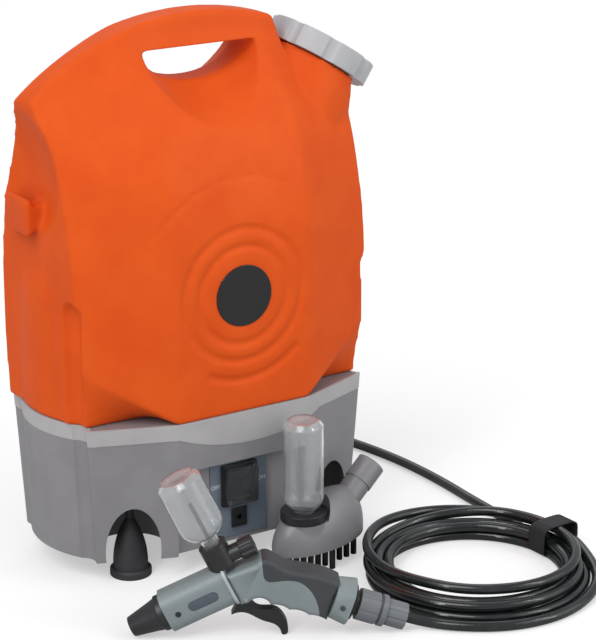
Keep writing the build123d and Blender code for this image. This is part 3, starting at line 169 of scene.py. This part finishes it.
# The floor keeps the object's shadow, and where the camera looks at it, a white glow is
# mixed in, so that it goes over into the sky without an edge
floor_glow = 0.44
floor_reach = 12
floor_paint = bpy.data.materials.new("matt_white_floor")
floor_paint.use_nodes = True
tree = floor_paint.node_tree
tree.nodes.clear()
matt = add_node(tree, "ShaderNodeBsdfDiffuse", {"Color": srgb("#F8F8F8")})
glow = add_node(
    tree, "ShaderNodeEmission", {"Color": white, "Strength": background_seen(tree)}
)
both = add_node(
    tree, "ShaderNodeMixShader", {0: floor_glow, 1: matt.outputs[0], 2: glow.outputs[0]}
)
add_node(tree, "ShaderNodeOutputMaterial", {"Surface": both.outputs[0]})

bm = bmesh.new()
bmesh.ops.create_grid(bm, x_segments=1, y_segments=1, size=floor_reach)
floor = add_object("floor", new_mesh("floor", bm))
floor.data.materials.append(floor_paint)

# Delivery hose. One length of glossy black PVC hose of 10 mm: it leaves the gland at the
# back, comes round the machine's right side, lies in a loose coil and ends at the gun.

hose_diameter = 0.010
hose_lead = [
    (0.058, 0.12491, 0.060), (0.058, 0.158, 0.060), (0.064, 0.198, 0.042),
    (0.094, 0.232, 0.018), (0.145, 0.249, 0.006), (0.198, 0.236, 0.0052),
    (0.234, 0.196, 0.0052), (0.254, 0.146, 0.0052), (0.270, 0.092, 0.0052),
    (0.281, 0.030, 0.0052), (0.284, -0.036, 0.0052), (0.281, -0.100, 0.0052),
    (0.281, -0.156, 0.0052),
]
hose_tail = [
    (0.272, -0.316, 0.0100), (0.243, -0.343, 0.0070), (0.208, -0.359, 0.0056),
    (0.170, -0.3635, 0.0052), (0.131, -0.3555, 0.0052), (0.097, -0.335, 0.0052),
    (0.07024, -0.30962, 0.00606), (0.05286, -0.29992, 0.01275),
]
coil_middle = Vector((0.177, -0.243, 0))
coil_start = radians(21)
coil_points = 16

# How far the turns are out of round, and the angle that says which way they are longest
coil_oval, oval_angle = 0.0012, 0.5

# Turns wound so far, distance from the coil's middle and height: two flat spirals that
# lie on each other, then a strand across their top that drops down outside
coil_lanes = [
    (0.00, 0.1100, 0.0052), (2.40, 0.0853, 0.0052), (2.66, 0.0853, 0.0156),
    (4.72, 0.1066, 0.0156), (4.94, 0.1060, 0.0262), (5.14, 0.0990, 0.0264),
    (5.38, 0.0875, 0.0264), (5.50, 0.0880, 0.0266), (5.76, 0.1180, 0.0262),
    (5.96, 0.1190, 0.0185), (6.12, 0.1185, 0.0135),
]


def coil_point(wound):
    """A point of the coil after this many turns."""
    for before, after in zip(coil_lanes, coil_lanes[1:]):
        if wound <= after[0]:
            break
    share = (wound - before[0]) / (after[0] - before[0])
    reach = before[1] + share * (after[1] - before[1])
    height = before[2] + share * (after[2] - before[2])
    angle = coil_start - wound * 2 * pi
    reach += coil_oval * cos(2 * angle + oval_angle)
    return coil_middle + Vector((reach * cos(angle), reach * sin(angle), height))


hose_route = list(hose_lead)
for i in range(int(coil_lanes[-1][0] * coil_points) + 1):
    hose_route.append(tuple(coil_point(i / coil_points)))
hose_route += hose_tail

hose_curve = bpy.data.curves.new("delivery_hose_line", "CURVE")
hose_curve.dimensions = "3D"
spline = hose_curve.splines.new("NURBS")
spline.points.add(len(hose_route) - 1)
for point, place in zip(spline.points, hose_route):
    point.co = (*place, 1)
spline.order_u = 3
spline.use_endpoint_u = True
spline.resolution_u = 6
hose_curve.bevel_depth = hose_diameter / 2
hose_curve.bevel_resolution = 5
hose_curve.use_fill_caps = True
garden_hose = add_object("coiled_hose", hose_curve)


def new_material(name):
    """A new material, its nodes, its shader, and the place on a piece for its patterns."""
    made = bpy.data.materials.new(name)
    made.use_nodes = True
    tree = made.node_tree
    place = add_node(tree, "ShaderNodeTexCoord").outputs["Object"]
    return made, tree, tree.nodes["Principled BSDF"], place


# Extruded PVC hose: a wet black gloss, a little uneven along its length, with a faint
# cloudy bloom where it has been handled
pvc, tree, shader, place = new_material("extruded_black_pvc")
bloom = add_node(
    tree, "ShaderNodeTexNoise", {"Vector": place, "Scale": 1 / 0.030, "Detail": 4}
)
tone = add_node(tree, "ShaderNodeValToRGB", {"Fac": bloom.outputs["Fac"]})
tone.color_ramp.elements[0].position = 0.35
tone.color_ramp.elements[0].color = srgb("#101212")
tone.color_ramp.elements[1].position = 0.75
tone.color_ramp.elements[1].color = srgb("#24292A")
ripple = add_node(
    tree, "ShaderNodeTexNoise", {"Vector": place, "Scale": 1 / 0.006, "Detail": 2}
)
gloss = add_node(
    tree, "ShaderNodeMapRange",
    {"Value": ripple.outputs["Fac"], "To Min": 0.10, "To Max": 0.26},
)
dents = add_node(
    tree, "ShaderNodeBump",
    {"Height": ripple.outputs["Fac"], "Strength": 0.25, "Distance": 0.0006},
)
set_inputs(
    shader,
    {
        "Base Color": tone.outputs["Color"], "Roughness": gloss.outputs["Result"],
        "Normal": dents.outputs["Normal"], "IOR": 1.53,
    },
)
hose_curve.materials.append(pvc)
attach(garden_hose, "machine")
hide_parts("hose_lead", "hose_coil", "hose_tail")

# Coil's strap. A flat band of black woven tape, wrapped once round all the turns and
# drawn tight on the coil's right side.

strap_angle = radians(4)
strap_low, strap_high = 0.0003, 0.0322
strap_inner, strap_outer = 0.0792, 0.1252
strap_edge, strap_step, strap_steps = -0.011, 0.0037, 6
tape_thickness = 0.0012

# A circle's sine and cosine to this power make a square with well rounded corners
strap_roundness = 0.42

bm = bmesh.new()
newest = bmesh.ops.create_circle(bm, segments=48, radius=1)["verts"]
for v in newest:
    across = copysign(abs(v.co.x) ** strap_roundness, v.co.x)
    up = copysign(abs(v.co.y) ** strap_roundness, v.co.y)
    v.co.x = (strap_inner + strap_outer) / 2 + across * (strap_outer - strap_inner) / 2
    v.co.y = strap_edge
    v.co.z = (strap_low + strap_high) / 2 + up * (strap_high - strap_low) / 2
for i in range(strap_steps):
    edges = [e for e in bm.edges if all(v in newest for v in e.verts)]
    grown = bmesh.ops.extrude_edge_only(bm, edges=edges)["geom"]
    newest = [v for v in grown if isinstance(v, bmesh.types.BMVert)]
    bmesh.ops.translate(bm, verts=newest, vec=(0, strap_step, 0))
bmesh.ops.recalc_face_normals(bm, faces=bm.faces)
bmesh.ops.solidify(bm, geom=bm.faces, thickness=tape_thickness)
bmesh.ops.recalc_face_normals(bm, faces=bm.faces)
bmesh.ops.rotate(bm, verts=bm.verts, matrix=Matrix.Rotation(strap_angle, 3, "Z"))
bmesh.ops.translate(bm, verts=bm.verts, vec=coil_middle)
for face in bm.faces:
    face.smooth = True
coil_strap = add_object("coil_strap", new_mesh("coil_strap", bm))

# Woven nylon tape: matt black, with threads that just show. The wave's bands come 0.31
# of its size apart, so 2.2 mm gives a thread every 0.7 mm.
tape, tree, shader, place = new_material("woven_nylon_tape")
threads = add_node(
    tree, "ShaderNodeTexWave",
    {"Vector": place, "Scale": 1 / 0.0022, "Distortion": 0.6},
    bands_direction="Z",
)
tone = add_node(tree, "ShaderNodeValToRGB", {"Fac": threads.outputs["Fac"]})
tone.color_ramp.elements[0].color = srgb("#0C0C0D")
tone.color_ramp.elements[1].color = srgb("#26272A")
weave = add_node(
    tree, "ShaderNodeBump",
    {"Height": threads.outputs["Fac"], "Strength": 0.6, "Distance": 0.0004},
)
set_inputs(
    shader,
    {
        "Base Color": tone.outputs["Color"], "Roughness": 0.8,
        "Normal": weave.outputs["Normal"],
    },
)
coil_strap.data.materials.append(tape)
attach(coil_strap, "machine")
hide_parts("hose_tie")

# Water tank. Blown in one piece from orange polyethylene: thick soft edges, a handle
# with a hand hole, rings pressed into the front and a neck at an angle on the right.

# The clouds in moulded plastic are about this large, and its gloss varies by this much
cloud_size = 0.055
gloss_spread = 0.07


def moulded_plastic(name, colour, shade, roughness, grain, depth):
    """Moulded plastic: its colour clouds a little to a second one, over a fine grain."""
    made, tree, shader, place = new_material(name)
    cloud = add_node(
        tree, "ShaderNodeTexNoise",
        {"Vector": place, "Scale": 1 / cloud_size, "Detail": 5, "Roughness": 0.6},
    )
    tone = add_node(tree, "ShaderNodeValToRGB", {"Fac": cloud.outputs["Fac"]})
    tone.color_ramp.elements[0].position = 0.34
    tone.color_ramp.elements[0].color = srgb(shade)
    tone.color_ramp.elements[1].position = 0.66
    tone.color_ramp.elements[1].color = srgb(colour)
    pores = add_node(
        tree, "ShaderNodeTexNoise", {"Vector": place, "Scale": 1 / grain, "Detail": 3}
    )
    sheen = add_node(
        tree, "ShaderNodeMapRange",
        {
            "Value": pores.outputs["Fac"],
            "To Min": roughness - gloss_spread, "To Max": roughness + gloss_spread,
        },
    )
    relief = add_node(
        tree, "ShaderNodeBump",
        {"Height": pores.outputs["Fac"], "Strength": 0.5, "Distance": depth},
    )
    set_inputs(
        shader,
        {
            "Base Color": tone.outputs["Color"], "Roughness": sheen.outputs["Result"],
            "Normal": relief.outputs["Normal"], "IOR": 1.5,
        },
    )
    return made


# Blown polyethylene: satin and slightly waxy, with a shallow orange peel of about 5 mm
polyethylene = moulded_plastic(
    "blown_orange_polyethylene", "#DB571D", "#D44F19",
    roughness=0.50, grain=0.0050, depth=0.00018,
)
polyethylene.node_tree.nodes["Principled BSDF"].inputs["Specular IOR Level"].default_value = 0.08

# The CAD tank's mesh is laid on an even grid and smoothed, so that its edges run as soft
# as blown ones. Behind the rings its wall is thickened inwards first, for the grid to
# find it whole.
merge_distance = 0.00001
wall_extra = 0.003
wall_front, wall_facing = -0.06, 0.7
grid_step = 0.0023
smoothing, smoothing_rounds = 0.5, 7

bm = bmesh.new()
bm.from_mesh(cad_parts["tank"].data)
bmesh.ops.remove_doubles(bm, verts=bm.verts, dist=merge_distance)
bm.normal_update()
for v in bm.verts:
    if v.normal.y > wall_facing and v.co.y < wall_front:
        v.co.y += wall_extra

# A block stands inside the wall's gap at the foot of each of the two rear flutes
block_place = Vector((0.1415, 0.0620, 0.1707))
block_size = Vector((0.019, 0.006, 0.0128))
for side in (-1, 1):
    place = Matrix.Translation(block_place * Vector((side, 1, 1)))
    bmesh.ops.create_cube(bm, size=1, matrix=place @ Matrix.Diagonal((*block_size, 1)))

tank_skin = add_object("tank_skin", new_mesh("tank_skin", bm))
grid = tank_skin.modifiers.new("even_grid", "REMESH")
grid.mode = "VOXEL"
grid.voxel_size = grid_step
settle = tank_skin.modifiers.new("soft_edges", "SMOOTH")
settle.factor = smoothing
settle.iterations = smoothing_rounds
bpy.context.view_layer.update()
graph = bpy.context.evaluated_depsgraph_get()
tank_mesh = bpy.data.meshes.new_from_object(tank_skin.evaluated_get(graph))
bpy.data.objects.remove(tank_skin)

tank_mesh.name = "water_tank"
for face in tank_mesh.polygons:
    face.use_smooth = True
tank_mesh.materials.clear()
tank_mesh.materials.append(polyethylene)
water_tank = add_object("water_tank", tank_mesh)
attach(water_tank, "machine")
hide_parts("tank")

# Badge. A bare disc of glossy black plastic, stuck on the flat middle of the pressed
# rings.

# Faces this close to flat are joined before the edges round them are eased
nearly_flat = radians(0.05)


def eased_copy(node, body, material, ease, sharp=32, swell=0):
    """A node's own form with its edges eased, as a mould or a tool leaves them."""
    bm = bmesh.new()
    bm.from_mesh(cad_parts[node].data)
    bmesh.ops.remove_doubles(bm, verts=bm.verts, dist=merge_distance)
    bmesh.ops.dissolve_limit(bm, angle_limit=nearly_flat, verts=bm.verts, edges=bm.edges)
    bm.normal_update()
    for v in bm.verts:
        v.co += v.normal * swell
    for face in bm.faces:
        face.smooth = True
    for edge in bm.edges:
        edge.smooth = len(edge.link_faces) != 2 or edge.calc_face_angle(0) < radians(sharp)
    piece = add_object(node + "_made", new_mesh(node + "_made", bm))
    if ease:
        edges = piece.modifiers.new("eased_edges", "BEVEL")
        edges.limit_method = "ANGLE"
        edges.angle_limit = radians(sharp)
        edges.width = ease
        edges.segments = 2
        edges.use_clamp_overlap = True
        edges.harden_normals = True
    piece.data.materials.append(material)
    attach(piece, body)
    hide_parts(node)
    return piece


# Acrylic disc: deep black and mirror smooth, with the faintest dust
acrylic = moulded_plastic(
    "glossy_black_acrylic", "#17171A", "#0E0E10",
    roughness=0.16, grain=0.0040, depth=0.00003,
)
eased_copy("badge_disc", "machine", acrylic, ease=0.0005)

# Screw cap. Moulded light grey polypropylene with eight grip hollows round its rim; a
# rubber ring inside seals it on the neck.

# Polypropylene: pale and satin, a little waxy, with hardly any grain
polypropylene = moulded_plastic(
    "moulded_grey_polypropylene", "#B4B5B8", "#A8A9AC",
    roughness=0.38, grain=0.0030, depth=0.00008,
)

# Sealing rubber: an even matt black that swallows highlights
sealing_rubber = moulded_plastic(
    "sealing_rubber", "#161616", "#0E0E0E",
    roughness=0.6, grain=0.0016, depth=0.00005,
)
eased_copy("tank_cap", "cap", polypropylene, ease=0.0016)
eased_copy("cap_gasket", "cap", sealing_rubber, ease=0.0003)

# Base housing. Moulded grey ABS with a fine spark texture; a lighter band is let into
# its top, a flat cover closes it below and four rubber feet stand in its hollows.

# Textured ABS: mid grey, and its grain spreads every highlight
base_abs = moulded_plastic(
    "textured_grey_abs", "#89878A", "#7F7D80",
    roughness=0.48, grain=0.0016, depth=0.00006,
)

# Satin ABS: paler and smoother than the housing below it
band_abs = moulded_plastic(
    "satin_light_abs", "#B0AEAE", "#A5A3A4",
    roughness=0.42, grain=0.0020, depth=0.00004,
)

# Foot rubber: dark grey and matt, with a faint pebbled grain
foot_rubber = moulded_plastic(
    "moulded_rubber", "#343235", "#2A282A",
    roughness=0.62, grain=0.0014, depth=0.00008,
)
eased_copy("base_housing", "machine", base_abs, ease=0.0012)
eased_copy("trim_band", "machine", band_abs, ease=0.0003, swell=0.0006)
eased_copy("bottom_cover", "machine", base_abs, ease=0.0005)
eased_copy("feet", "machine", foot_rubber, ease=0.0008)

# Control panel. A slate plate carries a black rocker switch under a clear ribbed cover,
# and a charging jack with a square flange below it.

# Printed film: slate blue with an even low gloss and no grain to speak of
plate_film = moulded_plastic(
    "slate_printed_film", "#6B7683", "#626C78",
    roughness=0.34, grain=0.0020, depth=0.00002,
)

# Black nylon: soft satin highlights over a fine grain
black_nylon = moulded_plastic(
    "moulded_black_nylon", "#232426", "#191A1B",
    roughness=0.36, grain=0.0016, depth=0.00005,
)
eased_copy("panel_label", "machine", plate_film, ease=0.0003)
eased_copy("switch_bezel", "machine", black_nylon, ease=0.0006)
eased_copy("switch_rocker", "rocker", black_nylon, ease=0.0006)
eased_copy("charge_socket", "machine", black_nylon, ease=0.0004)

# Screen print: white, flat and matt. Its two words beside the switch say which way is on
print_white = moulded_plastic(
    "white_screen_print", "#D4D7DA", "#C9CDD1",
    roughness=0.5, grain=0.0020, depth=0.00001,
)
mark_size = 0.0058
ink_thickness = 0.00008
mark_proud = 0.0001
label_low, label_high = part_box("panel_label")
switch_low, switch_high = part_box("switch_bezel")
upright = Matrix.Rotation(radians(90), 4, "X")
for word, across in (
    ("OFF", (label_low[0] + switch_low[0]) / 2), ("ON", (label_high[0] + switch_high[0]) / 2),
):
    letters = bpy.data.curves.new(f"mark_{word}", "FONT")
    letters.body = word
    letters.size = mark_size
    letters.align_x = "CENTER"
    letters.align_y = "CENTER"
    letters.extrude = ink_thickness
    sample = add_object(f"sample_{word}", letters)
    bpy.context.view_layer.update()
    graph = bpy.context.evaluated_depsgraph_get()
    mark_mesh = bpy.data.meshes.new_from_object(sample.evaluated_get(graph))
    bpy.data.objects.remove(sample)
    place = (across, label_low[1] - mark_proud, (switch_low[2] + switch_high[2]) / 2)
    mark_mesh.transform(Matrix.Translation(place) @ upright)
    mark_mesh.materials.append(print_white)
    mark = add_object(f"switch_mark_{word}", mark_mesh)
    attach(mark, "machine")

# Clear silicone: soft and slightly milky, with a broken gloss
silicone, tree, shader, place = new_material("clear_silicone")
haze = add_node(tree, "ShaderNodeTexNoise", {"Vector": place, "Scale": 1 / 0.004, "Detail": 3})
gloss = add_node(
    tree, "ShaderNodeMapRange",
    {"Value": haze.outputs["Fac"], "To Min": 0.02, "To Max": 0.06},
)
set_inputs(
    shader,
    {
        "Base Color": srgb("#C8CACD"), "Roughness": gloss.outputs["Result"],
        "Transmission Weight": 0.96, "IOR": 1.41,
    },
)
eased_copy("switch_boot", "machine", silicone, ease=0.0005)

# Inner works. The base holds a sealed battery, the shelf over it with the pump, its motor
# and the charging board, and the pieces that carry the water down from the tank and out.

# Ground steel: bright, with fine scratches that break up its gloss
bearing_steel, tree, shader, place = new_material("ground_steel")
scratches = add_node(
    tree, "ShaderNodeTexNoise", {"Vector": place, "Scale": 1 / 0.0015, "Detail": 4}
)
gloss = add_node(
    tree, "ShaderNodeMapRange",
    {"Value": scratches.outputs["Fac"], "To Min": 0.2, "To Max": 0.42},
)
set_inputs(
    shader,
    {"Base Color": srgb("#B9BABD"), "Roughness": gloss.outputs["Result"], "Metallic": 1.0},
)

# Zinc-plated sheet: the same scratches on a darker, bluer grey
plated_can = bearing_steel.copy()
plated_can.name = "zinc_plated_can"
plated_can.node_tree.nodes["Principled BSDF"].inputs["Base Color"].default_value = srgb("#8D9094")

# Battery case: dark blue-grey ABS with a dull even grain
battery_abs = moulded_plastic(
    "battery_case_abs", "#2B2E36", "#23262C",
    roughness=0.45, grain=0.0016, depth=0.00006,
)

# Soft tube: pale grey and smooth, with a soft gloss
soft_tube = moulded_plastic(
    "soft_grey_tube", "#9AA1A6", "#8B9297",
    roughness=0.35, grain=0.0030, depth=0.00004,
)

# Closed-cell foam: dark, dead matt and pitted
foam = moulded_plastic(
    "closed_cell_foam", "#4A4A4C", "#3C3C3E",
    roughness=0.9, grain=0.0012, depth=0.00020,
)

# Circuit board: green lacquer with a thin even shine
circuit_board = moulded_plastic(
    "green_circuit_board", "#1E5A37", "#17492C",
    roughness=0.3, grain=0.0020, depth=0.00003,
)
for node, slot, material in (
    ("battery", "battery_case", battery_abs),
    ("battery_pad", "foam_grey", foam),
    ("pump_tray", "inner_nylon", black_nylon),
    ("pump_head", "inner_nylon", black_nylon),
    ("pressure_switch", "inner_nylon", black_nylon),
    ("tank_outlet", "inner_nylon", black_nylon),
    ("suction_filter", "inner_nylon", black_nylon),
    ("fuse_holder", "black_plastic", black_nylon),
    ("pump_motor", "motor_steel", plated_can),
    ("shaft_bearing", "steel", bearing_steel),
    ("charge_board", "board_green", circuit_board),
    ("suction_hose", "inner_hose", soft_tube),
    ("delivery_hose", "inner_hose", soft_tube),
    ("gland_nut", "black_plastic", black_nylon),
):
    eased_copy(node, "machine", material, ease=0.0004)
eased_copy("motor_shaft", "shaft", bearing_steel, ease=0.0002)

# Hose gland. A black nylon fitting, screwed through the rear wall, whose long taper
# keeps the hose from kinking.

eased_copy("hose_gland", "machine", black_nylon, ease=0.0008)

# Quick connector. Grey moulded acetal: a flanged core, a sprung sleeve over it with six
# finger hollows, and a ribbed nut that clamps the hose.

# Acetal: mid grey and slightly greasy, with long soft highlights
acetal = moulded_plastic(
    "moulded_grey_acetal", "#6C7074", "#62666A",
    roughness=0.36, grain=0.0016, depth=0.00005,
)
connector = eased_copy("hose_connector", "machine", acetal, ease=0.0006)
sleeve = eased_copy("connector_collar", "collar", acetal, ease=0.0005)
hose_nut = eased_copy("hose_nut", "machine", acetal, ease=0.0006)

# Trigger gun. Grey glass-filled nylon with a soft black skin on the grip; the nozzle,
# trigger, detergent valve and its knob are black nylon.

# Glass-filled nylon: blue-grey satin, in which the glass shows as a faint grain
gun_nylon = moulded_plastic(
    "glass_filled_nylon", "#7E888A", "#757F81",
    roughness=0.40, grain=0.0016, depth=0.00005,
)

# Soft skin: dark grey and nearly matt, with a fine leathery grain
soft_skin = moulded_plastic(
    "soft_black_skin", "#3C3E41", "#323437",
    roughness=0.58, grain=0.0014, depth=0.00009,
)
for node, body, slot, material, ease in (
    ("gun_barrel", "gun", "gun_grey", gun_nylon, 0.0008),
    ("gun_grip", "gun", "gun_grey", gun_nylon, 0.0006),
    ("grip_overmould", "gun", "gun_soft", soft_skin, 0.0006),
    ("tail_ring", "gun", "gun_grey", gun_nylon, 0.0008),
    ("tail_seal", "gun", "seal_rubber", sealing_rubber, 0.0005),
    ("gun_adapter", "gun", "black_plastic", black_nylon, 0.0005),
    ("trigger_pin", "gun", "steel", bearing_steel, 0.0003),
    ("dose_valve", "gun", "black_plastic", black_nylon, 0.0007),
    ("spray_nozzle", "nozzle", "black_plastic", black_nylon, 0.0008),
    ("gun_trigger", "trigger", "black_plastic", black_nylon, 0.0012),
    ("valve_stem", "stem", "steel", bearing_steel, 0.0002),
    ("dose_knob", "knob", "black_plastic", black_nylon, 0.0007),
):
    eased_copy(node, body, material, ease)

# Small parts on the gun. A dark slate pill in each barrel pocket as painted shade, a black
# plug, a pale band over the joint between barrel and grip, and a screw each side of the tail ring.

# Two plain satin nylons set off the barrel between them: a dark slate, painted shade in its
# pockets, and a pale grey
pocket_shade_slate = moulded_plastic(
    "pocket_shade_slate", "#4E5762", "#454E58",
    roughness=0.40, grain=0.0016, depth=0.00004,
)
pale_band = moulded_plastic(
    "pale_nylon_band", "#A9B0B3", "#9EA5A8",
    roughness=0.38, grain=0.0016, depth=0.00004,
)

# The gun's frame lies on the floor at the nozzle and points along the gun; the barrel's
# and the tail's frames start on their axes and lean with them
gun_place, gun_turn = (-0.1644, -0.1787, 0), radians(-29.16)
barrel_place, barrel_lean = (0.0280, 0, 0.0248), radians(-25.5)
tail_place, tail_lean = (0.1815, 0, 0.0354), radians(18.6)
gun_frame = Matrix.Translation(gun_place) @ Matrix.Rotation(gun_turn, 4, "Z")
barrel_frame = gun_frame @ Matrix.Translation(barrel_place) @ Matrix.Rotation(barrel_lean, 4, "Y")
tail_frame = gun_frame @ Matrix.Translation(tail_place) @ Matrix.Rotation(tail_lean, 4, "Y")


def gun_detail(name, bm, place, material):
    """A small piece on the gun, finished and put in its place."""
    bmesh.ops.transform(bm, matrix=place, verts=bm.verts)
    bmesh.ops.recalc_face_normals(bm, faces=bm.faces)
    for face in bm.faces:
        face.smooth = True
    for edge in bm.edges:
        edge.smooth = edge.calc_face_angle(0) < radians(40)
    piece = add_object(name, new_mesh(name, bm))
    piece.data.materials.append(material)
    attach(piece, "gun")


def pill(radius, stretch, thickness):
    """A flat disc or pill that lies in its local XY plane, with eased edges."""
    bm = bmesh.new()
    bmesh.ops.create_circle(bm, cap_ends=True, segments=40, radius=radius)
    for v in bm.verts:
        v.co.x += stretch if v.co.x > 0 else -stretch
    top = bmesh.ops.extrude_face_region(bm, geom=list(bm.faces))["geom"]
    raised = [v for v in top if isinstance(v, bmesh.types.BMVert)]
    bmesh.ops.translate(bm, verts=raised, vec=(0, 0, thickness))
    rim = [e for e in bm.edges if all(v in raised for v in e.verts)]
    bmesh.ops.bevel(
        bm, geom=rim, offset=thickness * 0.3, segments=2, affect="EDGES", profile=0.5,
        material=-1,
    )
    return bm


# The pills in the barrel's pockets are painted shade: dark slate laid where the hollows fall in
# shade
pocket_shade_pill = dict(radius=0.0046, stretch=0.0098, thickness=0.0008)
plug = dict(radius=0.0027, stretch=0, thickness=0.0009)
screw = dict(radius=0.0024, stretch=0, thickness=0.0009)
for side, word in ((-1, "near"), (1, "far")):
    outwards = Matrix.Rotation(radians(-90 * side), 4, "X")
    for name, form, carrier, place, material, slot in (
        ("barrel_pocket_shade", pocket_shade_pill, barrel_frame, (0.038, 0.0161, 0), pocket_shade_slate, "gun_soft"),
        ("barrel_plug", plug, barrel_frame, (0.012, 0.0167, -0.001), black_nylon, "black_plastic"),
        ("tail_screw", screw, tail_frame, (0.0085, 0.0205, 0), soft_skin, "black_plastic"),
    ):
        along, out, up = place
        placed = carrier @ Matrix.Translation((along, side * out, up)) @ outwards
        gun_detail(f"{name}_{word}", pill(**form), placed, material)

band_size = Vector((0.0026, 0.0352, 0.0402))
band_corner = 0.0105
band_along = 0.0655
bm = bmesh.new()
bmesh.ops.create_cube(bm, size=1)
bmesh.ops.scale(bm, vec=band_size, verts=bm.verts)
corners = [e for e in bm.edges if abs(e.verts[0].co.x - e.verts[1].co.x) > band_size.x / 2]
bmesh.ops.bevel(
    bm, geom=corners, offset=band_corner, segments=8, affect="EDGES", profile=0.5,
    material=-1,
)
gun_detail(
    "barrel_joint_band", bm, barrel_frame @ Matrix.Translation((band_along, 0, 0)),
    pale_band,
)

# Detergent bottles. Two clear blown bottles with thin walls and a pushed-in base, one
# screwed upside down on the gun and one on the brush.

# Blown clear plastic: bright and glassy, and slightly wavy where the wall has flowed
bottle_plastic, tree, shader, place = new_material("clear_blown_plastic")
flow = add_node(tree, "ShaderNodeTexNoise", {"Vector": place, "Scale": 1 / 0.012, "Detail": 2})
waves = add_node(
    tree, "ShaderNodeBump",
    {"Height": flow.outputs["Fac"], "Strength": 0.12, "Distance": 0.0006},
)
set_inputs(
    shader,
    {
        "Base Color": srgb("#F2F4F5"), "Roughness": 0.04, "Normal": waves.outputs["Normal"],
        "Transmission Weight": 0.90, "IOR": 1.46,
    },
)
eased_copy("gun_bottle", "detergent_bottle", bottle_plastic, ease=0.0006)
eased_copy("brush_bottle", "soap_bottle", bottle_plastic, ease=0.0006)

# Wash brush. A grey moulded back with a hollow neck for a lance, a black collar for its
# bottle and tufts of black nylon bristle in a plate underneath.

# Satin ABS: smooth mid grey with broad soft highlights
brush_abs = moulded_plastic(
    "satin_grey_brush_abs", "#7F7E81", "#757477",
    roughness=0.36, grain=0.0020, depth=0.00004,
)
eased_copy("brush_head", "brush", brush_abs, ease=0.0009)
eased_copy("brush_plate", "brush", brush_abs, ease=0.0003)
eased_copy("brush_collar", "brush", black_nylon, ease=0.0007)

# Nylon bristle: nearly black, and each tuft catches only a thin line of light
bristle_nylon = moulded_plastic(
    "nylon_bristle", "#131314", "#09090A",
    roughness=0.35, grain=0.0010, depth=0.00002,
)
eased_copy("brush_bristles", "brush", bristle_nylon, ease=0, swell=0.0007)
